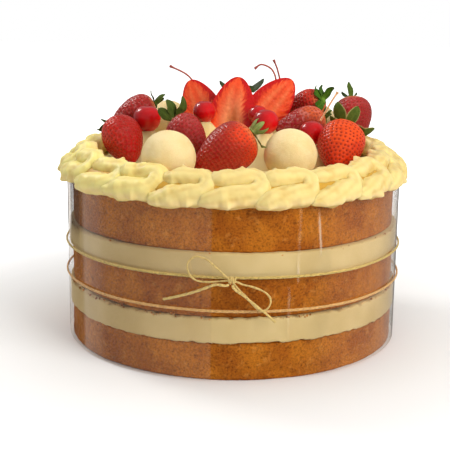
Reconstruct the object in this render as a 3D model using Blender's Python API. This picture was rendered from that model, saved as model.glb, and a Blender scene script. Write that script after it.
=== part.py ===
"""A round strawberry cake: three sponge layers with cream between them, a clear collar
tied with two turns of twine and a bow, a piped border round the top edge, and a heap of
strawberries, halved strawberries, round white sweets and glazed cherries.

Metres, +Z up. The origin is the centre of the underside, and the front faces -Y. An angle
round the cake is measured from the front, towards +X.
"""

import math

import bmesh
import bpy
import numpy as np
from mathutils import Matrix, Vector

# The clearance left between pieces that touch.
GAP = 0.0003
# Points nearer than this are one after a join or a cut.
WELD = 0.00012
# Edges between faces that turn by more than this look sharp.
SHARP_ANGLE = math.radians(50)

# Layers, bottom to top: the name, the top, the radius, the finish, the seed and the height
# of the edge's unevenness. Each starts a gap above the one below it.
LAYERS = (
    ("sponge_bottom", 0.0211, 0.0978, "sponge", 1, 0.0006),
    ("cream_lower", 0.0352, 0.0994, "cream", 2, 0.0003),
    ("sponge_middle", 0.0573, 0.0975, "sponge", 3, 0.0006),
    ("cream_upper", 0.0707, 0.0994, "cream", 4, 0.0003),
    ("sponge_top", 0.0980, 0.0968, "sponge", 5, 0.0005),
)
SPONGE_TOP = LAYERS[-1][1]
LAYER_SIDES = 44
# An uneven edge: how many waves go round, and each one's share of the height.
EDGE_WAVES = ((3, 0.35), (5, 0.25), (9, 0.25), (14, 0.15))

# The cream on top: its edge, its slope towards the back, its raised rim inside the
# border, and the heap under the fruit, which falls away at a slope from every topping. A
# seat is flat over a share of the topping's width, or of a ball's radius.
TOP_CREAM_LEVEL = 0.1001
TOP_CREAM_SLOPE = 0.0015
TOP_CREAM_SIDES = 24
SEAT_SIDES = 28
HEAP_SLOPE = 1.1
HEAP_PRESS = 0.0008
HEAP_REACH = (0.0775, 0.0815)
RIM_RADII = (0.0560, 0.0680, 0.0740, 0.0785, 0.0815)
RIM_HEIGHTS = (0.0010, 0.0022, 0.0036, 0.0032, 0.0)
CREAM_RINGS = (0.0965, 0.0815, 0.0770, 0.0670, 0.0540, 0.0400, 0.0250, 0.0110)
TIP_REACH = 0.35
BERRY_SEAT = 0.22
HALF_SEAT = 0.30
HALF_SETBACK = 0.2
SWEET_SEAT = 0.3
CHERRY_SEAT = 0.5

# The clear collar is one strip whose ends overlap at the front.
COLLAR_RADIUS = 0.1000
COLLAR_WALL = 0.0003
COLLAR_BOTTOM = 0.0010
COLLAR_TOP = 0.1000
COLLAR_STEP = 0.0006
OUTER_END = math.radians(-6.2)
INNER_END = math.radians(32.0)
STEP_LENGTH = math.radians(9.0)
COLLAR_SIDES = 54

# The piped border: a ring of hairpin strokes, each starting under the one before it. A
# stroke's lower arm lies outside, its upper arm comes back inside, and both are measured
# from the middle of its turn.
BORDER_RADIUS = 0.0940
BORDER_LEVEL = 0.1049
STROKES = 21
ROPE_RADIUS = 0.0055
ROPE_SIDES = 6
STATIONS = (0.0, 0.08, 0.24, 0.38, 0.46, 0.54, 0.62, 0.80, 1.0)
LOWER_ARM = 0.0240
UPPER_ARM = 0.0225
ARM_ACROSS = 0.0045
ARM_HEIGHT = 0.0034
DIAGONAL = 0.14
START_DROP = 0.0030
END_DROP = 0.0012
DROOP_POWER = 1.5
ARM_BEFORE_MIDDLE = 0.62
STROKE_SEED = 13
LENGTH_RANGE = (0.93, 1.07)
LIFT_RANGE = (-0.0006, 0.0006)
PLACE_RANGE = (-0.05, 0.05)
# A rope is thin at its start, full from this share on, and drawn out from this share of its
# end; each end bulges by a share of the rope's radius.
START_THICKNESS = 0.50
START_SHARE = 0.16
END_THICKNESS = 0.2
END_SHARE = 0.15
END_FADE = 0.6
END_BULGE = 0.3
CORE_SECTION = ((0.0885, 0.1000), (0.0990, 0.1000), (0.0945, 0.1068))
CORE_SIDES = 32

# Twine and bow.
TWINE_WIDTH = 0.0015
TWINE_THICKNESS = 0.0011
TWINE_PLAY = 0.0001
UPPER_TWINE_LEVEL = 0.0585
LOWER_TWINE_LEVEL = 0.0400
TWINE_SIDES = 42
BOW_DIAMETERS = {
    "bow_loop_left": 0.0010,
    "bow_loop_right": 0.0010,
    "bow_tail_left": 0.0014,
    "bow_tail_right": 0.0013,
}
DIAMETERS_A_POINT = 3.0
KNOT_SIZE = (0.0052, 0.0028, 0.0048)
KNOT_SIDES, KNOT_RINGS = 10, 6
KNOT_LEVEL = 0.0582
KNOT_RADIUS = 0.1042

# The seats that toppings press into the cream, in wider and plainer shapes.
PRESS_GROWTH = 1.14
HALF_PRESS = 0.0008
PRESS_SIDES = 8
PRESS_RINGS = 5

# Round sweets, cherries and berries.
SWEET_RADIUS = 0.0150
SWEET_SIDES, SWEET_RINGS = 14, 6
CHERRY_SIDES, CHERRY_RINGS = 10, 5
BERRY_SIDES = 12
BERRY_RINGS = 6
SHOULDER = 0.62
SHOULDER_END = 0.30
FULLNESS = 0.60
HALF_FULLNESS = 0.50
BERRY_SPAN = (0.03, 0.975)
POLE_DROP = 0.0006
TOP_POLE_BACK = 0.0004
TIP_POLE_BACK = 0.0002
TWOFOLD_LOBE = 0.035
THREEFOLD_LOBE = 0.025
FACE_COLUMNS = 3
HOLLOW_MIDDLE = 0.24
HOLLOW_LENGTH = 0.20
HOLLOW_WIDTH = 0.0024
CHERRY_DIMPLE = 0.12
DIMPLE_REACH = 0.45
STEM_RADIUS = 0.0007
STEM_POINTS = 5

# A calyx: a low core and thin leaves, each a blade that is widest near its middle.
LEAF_THICKNESS = 0.0005
LEAF_STATIONS = (0.0, 0.35, 0.74, 1.0)
LEAF_WIDTH = 0.46
LEAF_ROOT_WIDTH = 0.15
LEAF_FULLNESS = 0.6
LEAF_TIP = 0.0003
LEAF_CURL = 0.35
LEAF_ARC = 0.7
LEAF_ROOT = 0.0012
LEAF_SPREAD = 0.42
CORE_SIDES_AROUND = 6
CORE_RADII = (0.0026, 0.0022)
CORE_HEIGHT = 0.0013

COLOURS = {
    "sponge": (0.42, 0.17, 0.05),
    "cream": (0.83, 0.70, 0.42),
    "border_cream": (0.93, 0.84, 0.48),
    "collar": (0.90, 0.93, 0.94),
    "twine": (0.72, 0.52, 0.24),
    "berry": (0.62, 0.03, 0.02),
    "cut_berry": (0.85, 0.17, 0.05),
    "leaf": (0.06, 0.15, 0.03),
    "sweet": (0.88, 0.78, 0.50),
    "cherry": (0.52, 0.01, 0.01),
    "stem": (0.45, 0.13, 0.08),
}
ROUGHNESS = {
    "sponge": 0.85,
    "cream": 0.55,
    "border_cream": 0.50,
    "collar": 0.08,
    "twine": 0.70,
    "berry": 0.30,
    "cut_berry": 0.35,
    "leaf": 0.50,
    "sweet": 0.75,
    "cherry": 0.12,
    "stem": 0.50,
}

# Whole strawberries: the middle, the way the tip points, length, width and turn in degrees.
STRAWBERRIES = (
    ("strawberry_left", (-0.0639, 0.0330, 0.1282), (-0.90, -0.27, -0.35), 0.0290, 0.0215, 20),
    ("strawberry_front_left", (-0.0657, -0.0065, 0.1155), (0.38, -0.67, -0.63), 0.0330, 0.0255, 24),
    ("strawberry_behind_sweet", (-0.0262, -0.0180, 0.1202), (0.62, -0.58, -0.50), 0.0290, 0.0235, 10),
    ("strawberry_front", (-0.0065, -0.0480, 0.1158), (-0.79, -0.25, -0.56), 0.0410, 0.0275, 25),
    ("strawberry_back_right", (0.0450, 0.0440, 0.1325), (-0.80, 0.50, -0.33), 0.0280, 0.0200, 15),
    ("strawberry_right_inner", (0.0404, 0.0100, 0.1251), (-0.94, -0.30, -0.15), 0.0320, 0.0215, 5),
    ("strawberry_right", (0.0612, -0.0290, 0.1166), (-0.20, -0.74, -0.64), 0.0330, 0.0280, 30),
    ("strawberry_far_right", (0.0762, 0.0350, 0.1258), (0.17, -0.40, -0.90), 0.0290, 0.0245, 0),
    ("strawberry_middle", (0.0037, 0.0430, 0.1286), (0.05, 0.36, -0.93), 0.0300, 0.0210, 0),
    ("strawberry_back", (-0.0100, 0.0660, 0.1145), (-0.94, 0.11, -0.32), 0.0310, 0.0220, 10),
)

# The leaves of each strawberry: the way each points and its length.
LEAVES = {
    "strawberry_left": (
        ((0.65, -0.20, 0.72), 0.0088), ((0.50, 0.75, 0.40), 0.0085), ((-0.30, 0.15, 0.94), 0.0085),
    ),
    "strawberry_front_left": (
        ((-0.88, 0.05, -0.44), 0.0120), ((-0.95, 0.25, 0.00), 0.0090), ((0.50, 0.85, 0.10), 0.0085),
    ),
    "strawberry_behind_sweet": (
        ((-0.72, -0.05, 0.70), 0.0125), ((-0.22, 0.10, 0.97), 0.0150),
        ((0.38, 0.10, 0.92), 0.0165), ((0.10, 0.95, 0.20), 0.0085),
    ),
    "strawberry_front": (
        ((0.75, -0.10, 0.65), 0.0090), ((0.97, -0.15, 0.20), 0.0090), ((0.55, -0.62, -0.55), 0.0130),
        ((0.38, -0.05, 0.92), 0.0080),
    ),
    "strawberry_back_right": (
        ((-0.15, 0.10, 0.98), 0.0095), ((-0.55, -0.35, 0.75), 0.0110),
        ((-0.50, -0.75, -0.40), 0.0110), ((0.55, 0.10, 0.83), 0.0105),
    ),
    "strawberry_right_inner": (
        ((0.05, 0.05, 1.00), 0.0078), ((0.45, -0.30, 0.80), 0.0075), ((0.50, 0.65, 0.40), 0.0070),
    ),
    "strawberry_right": (
        ((-0.28, 0.00, 0.96), 0.0160), ((0.58, 0.00, 0.81), 0.0150), ((0.95, -0.10, -0.12), 0.0175),
        ((-0.82, 0.10, 0.57), 0.0100),
    ),
    "strawberry_far_right": (
        ((-0.10, 0.30, 0.95), 0.0100), ((0.55, 0.80, 0.10), 0.0085),
        ((-0.45, 0.85, 0.20), 0.0085),
    ),
    "strawberry_middle": (
        ((-0.85, -0.05, 0.36), 0.0140), ((0.88, -0.02, 0.28), 0.0170),
        ((0.20, 0.95, 0.30), 0.0100), ((-0.50, 0.80, 0.30), 0.0100),
    ),
    "strawberry_back": (
        ((0.25, -0.10, 0.95), 0.0062), ((0.30, 0.85, 0.35), 0.0060), ((0.55, -0.75, 0.20), 0.0052),
    ),
}

# Halved strawberries: the middle of the cut face, tip direction, the way the cut face
# looks, length, width and the depth of the hollow core.
HALVES = (
    (
        "half_left", (-0.0215, 0.0275, 0.1350), (-0.41, 0.20, 0.89), (-0.15, -0.97, 0.15),
        0.0330, 0.0250, 0.0,
    ),
    (
        "half_middle", (-0.0005, 0.0100, 0.1350), (0.17, 0.27, 0.95), (-0.05, -0.96, 0.27),
        0.0390, 0.0290, 0.0045,
    ),
    (
        "half_right", (0.0252, 0.0220, 0.1389), (0.64, 0.18, 0.75), (0.10, -0.97, 0.15),
        0.0330, 0.0250, 0.0,
    ),
)

SWEETS = (
    ("sweet_front_left", (-0.0358, -0.0616, 0.1157)),
    ("sweet_front_right", (0.0320, -0.0456, 0.1152)),
    ("sweet_back_left", (-0.0440, 0.0640, 0.1181)),
    ("sweet_back_right", (0.0546, 0.0660, 0.1171)),
)

# Cherries: the middle and the radius.
CHERRIES = (
    ("cherry_left", (-0.0538, 0.0140, 0.1273), 0.0084),
    ("cherry_half_left", (-0.0180, 0.0020, 0.1335), 0.0068),
    ("cherry_middle", (0.0187, -0.0130, 0.1300), 0.0076),
    ("cherry_middle_back", (0.0144, 0.0010, 0.1320), 0.0062),
    ("cherry_right", (0.0463, -0.0090, 0.1229), 0.0078),
    ("cherry_stem_left", (-0.0182, 0.0460, 0.1253), 0.0078),
    ("cherry_stem_right", (0.0225, 0.0500, 0.1310), 0.0076),
    ("cherry_back", (0.0240, 0.0630, 0.1180), 0.0076),
)

# Cherry stems, from the cherry to the free end.
STEMS = {
    "stem_left": (
        (-0.0190, 0.0440, 0.1338), (-0.0240, 0.0400, 0.1440), (-0.0300, 0.0380, 0.1522),
        (-0.0411, 0.0360, 0.1580),
    ),
    "stem_straight": (
        (0.0240, 0.0490, 0.1392), (0.0290, 0.0470, 0.1460), (0.0275, 0.0450, 0.1550),
        (0.0247, 0.0440, 0.1620),
    ),
    "stem_curved": (
        (0.0205, 0.0480, 0.1392), (0.0262, 0.0440, 0.1475), (0.0238, 0.0420, 0.1558),
        (0.0170, 0.0410, 0.1592), (0.0125, 0.0405, 0.1565),
    ),
    "stem_right": (
        (0.0512, -0.0095, 0.1303), (0.0545, -0.0080, 0.1360), (0.0578, -0.0060, 0.1415),
        (0.0614, -0.0040, 0.1468),
    ),
}

# The bow's strands: distance round the cake from the front, height and radius, in metres.
BOW_ROUTES = {
    "bow_loop_left": (
        (-0.0028, 0.0598, 0.1041), (-0.0079, 0.0646, 0.1041), (-0.0129, 0.0687, 0.1040),
        (-0.0170, 0.0702, 0.1038), (-0.0197, 0.0700, 0.1036), (-0.0226, 0.0679, 0.1036),
        (-0.0238, 0.0650, 0.1036), (-0.0231, 0.0614, 0.1036), (-0.0210, 0.0586, 0.1036),
        (-0.0179, 0.0571, 0.1036), (-0.0128, 0.0568, 0.1038), (-0.0078, 0.0574, 0.1041),
        (-0.0031, 0.0579, 0.1041),
    ),
    "bow_loop_right": (
        (0.0030, 0.0572, 0.1041), (0.0060, 0.0559, 0.1041), (0.0102, 0.0548, 0.1040),
        (0.0148, 0.0530, 0.1038), (0.0185, 0.0506, 0.1036), (0.0206, 0.0476, 0.1036),
        (0.0204, 0.0444, 0.1036), (0.0184, 0.0418, 0.1036), (0.0156, 0.0412, 0.1036),
        (0.0130, 0.0428, 0.1036), (0.0104, 0.0458, 0.1037), (0.0074, 0.0495, 0.1039),
        (0.0043, 0.0526, 0.1041), (0.0019, 0.0552, 0.1041),
    ),
    "bow_tail_left": (
        (-0.0028, 0.0558, 0.1062), (-0.0083, 0.0562, 0.1060), (-0.0118, 0.0549, 0.1058),
        (-0.0169, 0.0525, 0.1050), (-0.0220, 0.0503, 0.1042), (-0.0283, 0.0479, 0.1034),
        (-0.0337, 0.0460, 0.1028), (-0.0373, 0.0449, 0.1025),
    ),
    "bow_tail_right": (
        (0.0008, 0.0549, 0.1060), (0.0026, 0.0530, 0.1060), (0.0063, 0.0502, 0.1058),
        (0.0104, 0.0468, 0.1057), (0.0151, 0.0428, 0.1056), (0.0182, 0.0403, 0.1055),
        (0.0235, 0.0350, 0.1050),
    ),
}


def clear_scene():
    """Remove every object, so that the cake is alone."""
    for old in list(bpy.data.objects):
        bpy.data.objects.remove(old, do_unlink=True)


def material(name):
    """The named finish, made once."""
    if name in bpy.data.materials:
        return bpy.data.materials[name]
    made = bpy.data.materials.new(name)
    made.use_nodes = True
    shader = made.node_tree.nodes["Principled BSDF"]
    shader.inputs["Base Color"].default_value = (*COLOURS[name], 1.0)
    shader.inputs["Roughness"].default_value = ROUGHNESS[name]
    shader.inputs["Metallic"].default_value = 0.0
    return made


def add_object(name, mesh, finish, place=None):
    """Put a mesh into the scene as one named piece."""
    mesh.shade_smooth()
    mesh.set_sharp_from_angle(angle=SHARP_ANGLE)
    piece = bpy.data.objects.new(name, mesh)
    mesh.materials.append(material(finish))
    bpy.context.scene.collection.objects.link(piece)
    if place is not None:
        piece.location = place.to_translation()
        piece.rotation_euler = place.to_euler()
    return piece


def mesh_from(points, faces, name):
    """A mesh from points and faces, with its faces turned outwards."""
    mesh = bpy.data.meshes.new(name)
    mesh.from_pydata([tuple(p) for p in points], [], [tuple(f) for f in faces])
    shell = bmesh.new()
    shell.from_mesh(mesh)
    bmesh.ops.recalc_face_normals(shell, faces=shell.faces)
    shell.to_mesh(mesh)
    shell.free()
    return mesh


def lattice_faces(rings, sides, first=0):
    """Quads between rings of points that are stored one ring after another."""
    faces = []
    for ring in range(rings - 1):
        low = first + ring * sides
        for side in range(sides):
            following = (side + 1) % sides
            faces.append((low + side, low + following, low + sides + following, low + sides + side))
    return faces


def closed_rings(rings, name, start=None, end=None):
    """A closed skin over rings of points, each end a fan to a point or one flat face."""
    rings = np.asarray(rings, float)
    count, sides = rings.shape[:2]
    points = [p for ring in rings for p in ring]
    faces = lattice_faces(count, sides)
    last = (count - 1) * sides
    for pole, first in ((start, 0), (end, last)):
        if pole is None:
            faces.append(tuple(first + side for side in range(sides)))
            continue
        points.append(pole)
        middle = len(points) - 1
        faces += [(first + side, first + (side + 1) % sides, middle) for side in range(sides)]
    return mesh_from(points, faces, name)


def ring_of_tube(radius_at, level_at, sides, section, name):
    """A closed band round the cake: a section carried along a ring."""
    angles = np.arange(sides) / sides * math.tau
    points = []
    for angle in angles:
        for out, up in section:
            radius = radius_at(angle) + out
            points.append((radius * math.sin(angle), -radius * math.cos(angle), level_at(angle) + up))
    around = len(section)
    faces = []
    for side in range(sides):
        here, there = side * around, (side + 1) % sides * around
        for k in range(around):
            step = (k + 1) % around
            faces.append((here + k, here + step, there + step, there + k))
    return mesh_from(points, faces, name)


def ripple(angle, seed, height):
    """An uneven edge: waves round the cake with seeded phases, of the given height."""
    draw = np.random.default_rng(seed)
    total = 0.0
    for waves, share in EDGE_WAVES:
        total = total + share * np.cos(waves * angle + draw.uniform(0, math.tau))
    return height * total


def layer(name, bottom, top, radius, finish, seed, unevenness):
    """A sponge or cream layer: a disc with a slightly uneven edge."""
    angle = np.arange(LAYER_SIDES) / LAYER_SIDES * math.tau
    rings = []
    for number, level in enumerate((bottom, top)):
        reach = radius + ripple(angle, seed + number, unevenness)
        levels = np.full(LAYER_SIDES, level)
        rings.append(np.stack([reach * np.sin(angle), -reach * np.cos(angle), levels], 1))
    return add_object(name, closed_rings(rings, name), finish)


def heap_supports():
    """Where each topping rests: the place, the height of its underside and its half width."""
    found = []
    for _, middle, tip, length, width, _ in STRAWBERRIES:
        down = abs(tip[2])
        reach = math.hypot(length / 2 * down, width / 2 * math.sqrt(max(0.0, 1 - down**2)))
        lean = TIP_REACH * length * down
        place = (middle[0] + tip[0] * lean, middle[1] + tip[1] * lean)
        found.append((*place, middle[2] - reach, BERRY_SEAT * width))
    for _, middle, tip, _, length, width, _ in HALVES:
        low = Vector(middle) - Vector(tip).normalized() * length / 2
        found.append((low.x, low.y + HALF_SETBACK * width, low.z, HALF_SEAT * width))
    for _, middle in SWEETS:
        found.append((middle[0], middle[1], middle[2] - SWEET_RADIUS, SWEET_SEAT * SWEET_RADIUS))
    for _, middle, radius in CHERRIES:
        found.append((middle[0], middle[1], middle[2] - radius, CHERRY_SEAT * radius))
    return np.array(found)


def cream_level(x, y):
    """The height of the top cream: level, rising a little to the back, with a raised rim
    inside the border and a heap that carries the fruit."""
    base = TOP_CREAM_LEVEL + TOP_CREAM_SLOPE * (1 + y / BORDER_RADIUS)
    heap = np.zeros_like(base)
    for place_x, place_y, bottom, flat in heap_supports():
        away = np.maximum(np.hypot(x - place_x, y - place_y) - flat, 0)
        heap = np.maximum(heap, bottom + HEAP_PRESS - base - HEAP_SLOPE * away)
    radius = np.hypot(x, y)
    inside = np.clip((HEAP_REACH[1] - radius) / (HEAP_REACH[1] - HEAP_REACH[0]), 0, 1)
    return base + np.maximum(heap * inside, np.interp(radius, RIM_RADII, RIM_HEIGHTS))


def top_cream_mesh(name):
    """The top cream's disc, with its mound."""
    angle = np.arange(TOP_CREAM_SIDES) / TOP_CREAM_SIDES * math.tau
    side, front = np.sin(angle), -np.cos(angle)
    edge = CREAM_RINGS[0]
    rings = [np.stack([edge * side, edge * front, np.full(TOP_CREAM_SIDES, SPONGE_TOP + GAP)], 1)]
    for radius in CREAM_RINGS:
        x, y = side * radius, front * radius
        rings.append(np.stack([x, y, cream_level(x, y)], 1))
    middle = float(cream_level(np.zeros(1), np.zeros(1))[0])
    return closed_rings(rings, name, end=(0.0, 0.0, middle))


def seat_mesh(name):
    """A flat-topped disc that clears the border of the top cream and the collar."""
    radius = (COLLAR_RADIUS + COLLAR_WALL + COLLAR_STEP + GAP) / math.cos(math.pi / SEAT_SIDES)
    angle = np.arange(SEAT_SIDES) / SEAT_SIDES * math.tau
    side, front = radius * np.sin(angle), -radius * np.cos(angle)
    level = TOP_CREAM_LEVEL + TOP_CREAM_SLOPE * (1 + front / BORDER_RADIUS) + GAP
    low = np.full(SEAT_SIDES, SPONGE_TOP - ROPE_RADIUS)
    return closed_rings([np.stack([side, front, low], 1), np.stack([side, front, level], 1)], name)


def overlap_share(angle):
    """1 where the collar's ends overlap, falling to 0 just past the inner end."""
    turned = (angle - OUTER_END) % math.tau
    return float(np.clip((INNER_END - OUTER_END + STEP_LENGTH - turned) / STEP_LENGTH, 0, 1))


def collar():
    """The clear strip: its outer end starts at the front, and its inner end runs under it."""
    span = math.tau + INNER_END - OUTER_END
    rings = []
    for step in range(COLLAR_SIDES + 1):
        run = span * step / COLLAR_SIDES
        angle = OUTER_END + run
        inner = COLLAR_RADIUS + (COLLAR_STEP * overlap_share(angle) if run < math.pi else 0.0)
        side, front = math.sin(angle), -math.cos(angle)
        outer = inner + COLLAR_WALL
        rings.append([
            (inner * side, inner * front, COLLAR_BOTTOM),
            (outer * side, outer * front, COLLAR_BOTTOM),
            (outer * side, outer * front, COLLAR_TOP),
            (inner * side, inner * front, COLLAR_TOP),
        ])
    return add_object("collar", closed_rings(rings, "collar"), "collar")


def twine_radius(angle):
    """The middle of the twine, outside the collar and over its overlap."""
    turned = (angle - OUTER_END + math.pi) % math.tau - math.pi
    over = INNER_END - OUTER_END + STEP_LENGTH
    up = np.clip((turned + STEP_LENGTH) / STEP_LENGTH, 0, 1)
    down = np.clip((over + STEP_LENGTH - turned) / STEP_LENGTH, 0, 1)
    step = COLLAR_STEP * float(up * down)
    return COLLAR_RADIUS + COLLAR_WALL + GAP + TWINE_THICKNESS / 2 + step + TWINE_PLAY


def twine(name, level):
    """One turn of flat twine round the collar."""
    thick, wide = TWINE_THICKNESS / 2, TWINE_WIDTH / 2
    section = [(-thick, -wide), (thick, -wide), (thick, wide), (-thick, wide)]
    mesh = ring_of_tube(twine_radius, lambda angle: level, TWINE_SIDES, section, name)
    return add_object(name, mesh, "twine")


def stroke_path(share, length):
    """A hairpin stroke's middle line: along the border, across it and up.

    It runs forward low on the outside, turns up and in, and comes back on top. Its turn
    lies further in than its ends.
    """
    lower, upper = LOWER_ARM * length, UPPER_ARM * length
    radius = math.hypot(ARM_ACROSS, ARM_HEIGHT)
    turn = math.pi * radius
    run = share * (lower + turn + upper)
    bend = np.clip((run - lower) / turn, 0, 1) * math.pi
    back = np.clip(run - lower - turn, 0, None)
    along = np.minimum(run, lower) - ARM_BEFORE_MIDDLE * lower + radius * np.sin(bend) - back
    start = np.clip(1 - run / lower, 0, 1) ** DROOP_POWER
    end = np.clip(back / upper, 0, 1) ** DROOP_POWER
    across = ARM_ACROSS * np.cos(bend) - DIAGONAL * along
    height = -ARM_HEIGHT * np.cos(bend) - START_DROP * start - END_DROP * end
    return np.stack([along, across, height], -1)


def stroke_thickness(share):
    """Thin where the nozzle starts, full along the stroke and drawn out at the end."""
    swell = np.clip(START_THICKNESS + share / START_SHARE * (1 - START_THICKNESS), 0, 1)
    fade = np.clip((1 - share) / END_SHARE + END_THICKNESS, END_THICKNESS, 1) ** END_FADE
    return swell * fade


def stroke_mesh(number, draw):
    """One stroke of the border, as a rope along its hairpin path."""
    length = draw.uniform(*LENGTH_RANGE)
    lift, twist = draw.uniform(*LIFT_RANGE), draw.uniform(0, math.tau)
    middle = (number + draw.uniform(*PLACE_RANGE)) / STROKES * math.tau
    share = np.array(STATIONS)
    path = stroke_path(share, length)
    ahead = np.gradient(path, axis=0)
    ahead /= np.linalg.norm(ahead, axis=1, keepdims=True)
    plane = np.array([0.0, ARM_HEIGHT, ARM_ACROSS]) / math.hypot(ARM_HEIGHT, ARM_ACROSS)
    sideways = np.cross(plane, ahead)
    sideways /= np.linalg.norm(sideways, axis=1, keepdims=True)
    upright = np.cross(ahead, sideways)
    angle = np.arange(ROPE_SIDES)[None, :] / ROPE_SIDES * math.tau + twist
    radius = ROPE_RADIUS * stroke_thickness(share)[:, None]
    local = (
        path[:, None, :]
        + (radius * np.cos(angle))[..., None] * sideways[:, None, :]
        + (radius * np.sin(angle))[..., None] * upright[:, None, :]
    )
    rings = around_border(local, middle, lift)
    bulge = ROPE_RADIUS * END_BULGE * ahead[[0, -1]] * [[-1], [1]]
    ends = around_border(path[[0, -1]] + bulge, middle, lift)
    return closed_rings(rings, f"stroke_{number}", start=tuple(ends[0]), end=tuple(ends[1]))


def around_border(local, middle, lift):
    """Wrap lengths along, across and up onto the border's ring."""
    angle = middle + local[..., 0] / BORDER_RADIUS
    radius = BORDER_RADIUS + local[..., 1]
    level = BORDER_LEVEL + lift + local[..., 2] + TOP_CREAM_SLOPE * (1 - np.cos(angle))
    return np.stack([radius * np.sin(angle), -radius * np.cos(angle), level], -1)


def combine(target, tools, operation):
    """Join the tools to a piece, or cut them from it, with one Boolean, and remove them."""
    group = bpy.data.collections.new(f"{target.name}_{operation.lower()}")
    bpy.context.scene.collection.children.link(group)
    for tool in tools:
        bpy.context.scene.collection.objects.unlink(tool)
        group.objects.link(tool)
    step = target.modifiers.new(operation.lower(), "BOOLEAN")
    step.operation = operation
    step.operand_type = "COLLECTION"
    step.collection = group
    step.solver = "MANIFOLD"
    bpy.context.view_layer.update()
    result = bpy.data.meshes.new_from_object(target.evaluated_get(bpy.context.evaluated_depsgraph_get()))
    target.modifiers.clear()
    target.data = result
    for tool in tools:
        bpy.data.objects.remove(tool, do_unlink=True)
    bpy.data.collections.remove(group)
    keep_largest_shell(target.data)


def keep_largest_shell(mesh):
    """Fill sealed hollows and drop loose scraps: only the widest shell stays."""
    shell = bmesh.new()
    shell.from_mesh(mesh)
    bmesh.ops.triangulate(shell, faces=shell.faces)
    collapse_short_edges(shell)
    shell.faces.ensure_lookup_table()
    unseen = set(shell.faces)
    shells = []
    while unseen:
        stack = [unseen.pop()]
        found = [stack[0]]
        while stack:
            for edge in stack.pop().edges:
                for face in edge.link_faces:
                    if face in unseen:
                        unseen.remove(face)
                        stack.append(face)
                        found.append(face)
        shells.append(found)
    shells.sort(key=lambda found: sum(face.calc_area() for face in found))
    for found in shells[:-1]:
        bmesh.ops.delete(shell, geom=found, context="FACES")
    loose = [vertex for vertex in shell.verts if not vertex.link_faces]
    bmesh.ops.delete(shell, geom=loose, context="VERTS")
    shell.to_mesh(mesh)
    shell.free()


def collapse_short_edges(shell):
    """Close up edges too short to matter, one by one, where the skin stays whole.

    An edge may go when its two ends share only the two points opposite it.
    """
    while True:
        short = sorted(
            (edge for edge in shell.edges if edge.calc_length() < WELD and is_plain(edge)),
            key=lambda edge: edge.calc_length(),
        )
        if not short:
            return
        bmesh.ops.collapse(shell, edges=short[:1])


def is_plain(edge):
    """Whether an edge can close up without pinching the skin."""
    first, second = edge.verts
    around = [{link.other_vert(vertex) for link in vertex.link_edges} for vertex in (first, second)]
    return len(edge.link_faces) == 2 and len(around[0] & around[1]) == 2


def border_rise(angle):
    """How much higher the border stands than at the front."""
    return TOP_CREAM_SLOPE * (1 - math.cos(angle))


def border():
    """The piped border: strokes joined over a low ridge of cream that closes their folds."""
    draw = np.random.default_rng(STROKE_SEED)
    strokes = []
    for number in range(STROKES):
        strokes.append(add_object(f"stroke_{number}", stroke_mesh(number, draw), "border_cream"))
    core = ring_of_tube(lambda angle: 0.0, border_rise, CORE_SIDES, CORE_SECTION, "piped_border")
    ring = add_object("piped_border", core, "border_cream")
    combine(ring, strokes, "UNION")
    return ring


def berry_profile(share, fullness=FULLNESS):
    """A strawberry's half width along its length: a round shoulder and a tapering tip."""
    return np.sin(math.pi * np.clip(share, 0, 1) ** SHOULDER) ** fullness


def berry_mesh(name, length, width, seed, sides=BERRY_SIDES, count=BERRY_RINGS):
    """A strawberry standing on its tip, its calyx end up at +Z."""
    draw = np.random.default_rng(seed)
    lean, lobes = draw.uniform(0, math.tau), draw.uniform(0, math.tau)
    turn = np.arange(sides) / sides * math.tau
    uneven = 1 + TWOFOLD_LOBE * np.cos(2 * turn + lean) + THREEFOLD_LOBE * np.cos(3 * turn + lobes)
    rings = []
    for share in np.linspace(*BERRY_SPAN, count):
        half = width / 2 * berry_profile(share) * uneven
        level = np.full(sides, length * (0.5 - share))
        rings.append(np.stack([half * np.cos(turn), half * np.sin(turn), level], 1))
    return closed_rings(rings, name, start=(0, 0, length / 2 - POLE_DROP), end=(0, 0, -length / 2))


def shoulder_level(radius, length, width):
    """The height of the strawberry's shoulder at a distance from its axis."""
    share = np.linspace(0.0, SHOULDER_END, 40)
    half = width / 2 * berry_profile(share) * (1 + TWOFOLD_LOBE + THREEFOLD_LOBE)
    return length * (0.5 - np.interp(radius, half, share))


def leaf_mesh(name, way, reach, length, width):
    """One leaf of the calyx, in the strawberry's own axes.

    It runs out from the core along the shoulder, lifts by as much as its way points up the
    axis, and curls up a little towards its tip. It is widest near its middle.
    """
    share = np.array(LEAF_STATIONS)
    lift = np.maximum(0, math.asin(way[2])) + LEAF_CURL * share**2
    slope = np.minimum(lift, math.pi / 2)
    spread = LEAF_ROOT + reach * share * np.cos(slope) ** LEAF_ARC
    resting = shoulder_level(np.minimum(spread, width * LEAF_SPREAD), length, width)
    height = resting + GAP + LEAF_THICKNESS / 2 + reach * share * np.sin(slope)
    swell = np.sin(math.pi * (LEAF_ROOT_WIDTH + (1 - LEAF_ROOT_WIDTH) * share))
    half = np.maximum(LEAF_WIDTH * reach / 2 * np.maximum(swell, 0) ** LEAF_FULLNESS, LEAF_TIP)
    ahead = np.array(way[:2]) / math.hypot(*way[:2])
    side = np.array([-ahead[1], ahead[0]])
    middle = np.stack([spread * ahead[0], spread * ahead[1], height], 1)
    along = np.gradient(middle, axis=0)
    normal = np.cross(along, [*side, 0.0])
    normal /= np.linalg.norm(normal, axis=1, keepdims=True)
    thin = normal * LEAF_THICKNESS / 2
    left, right = middle - half[:, None] * [*side, 0.0], middle + half[:, None] * [*side, 0.0]
    rings = np.stack([left - thin, right - thin, right + thin, left + thin], 1)
    return closed_rings(rings, name)


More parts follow.
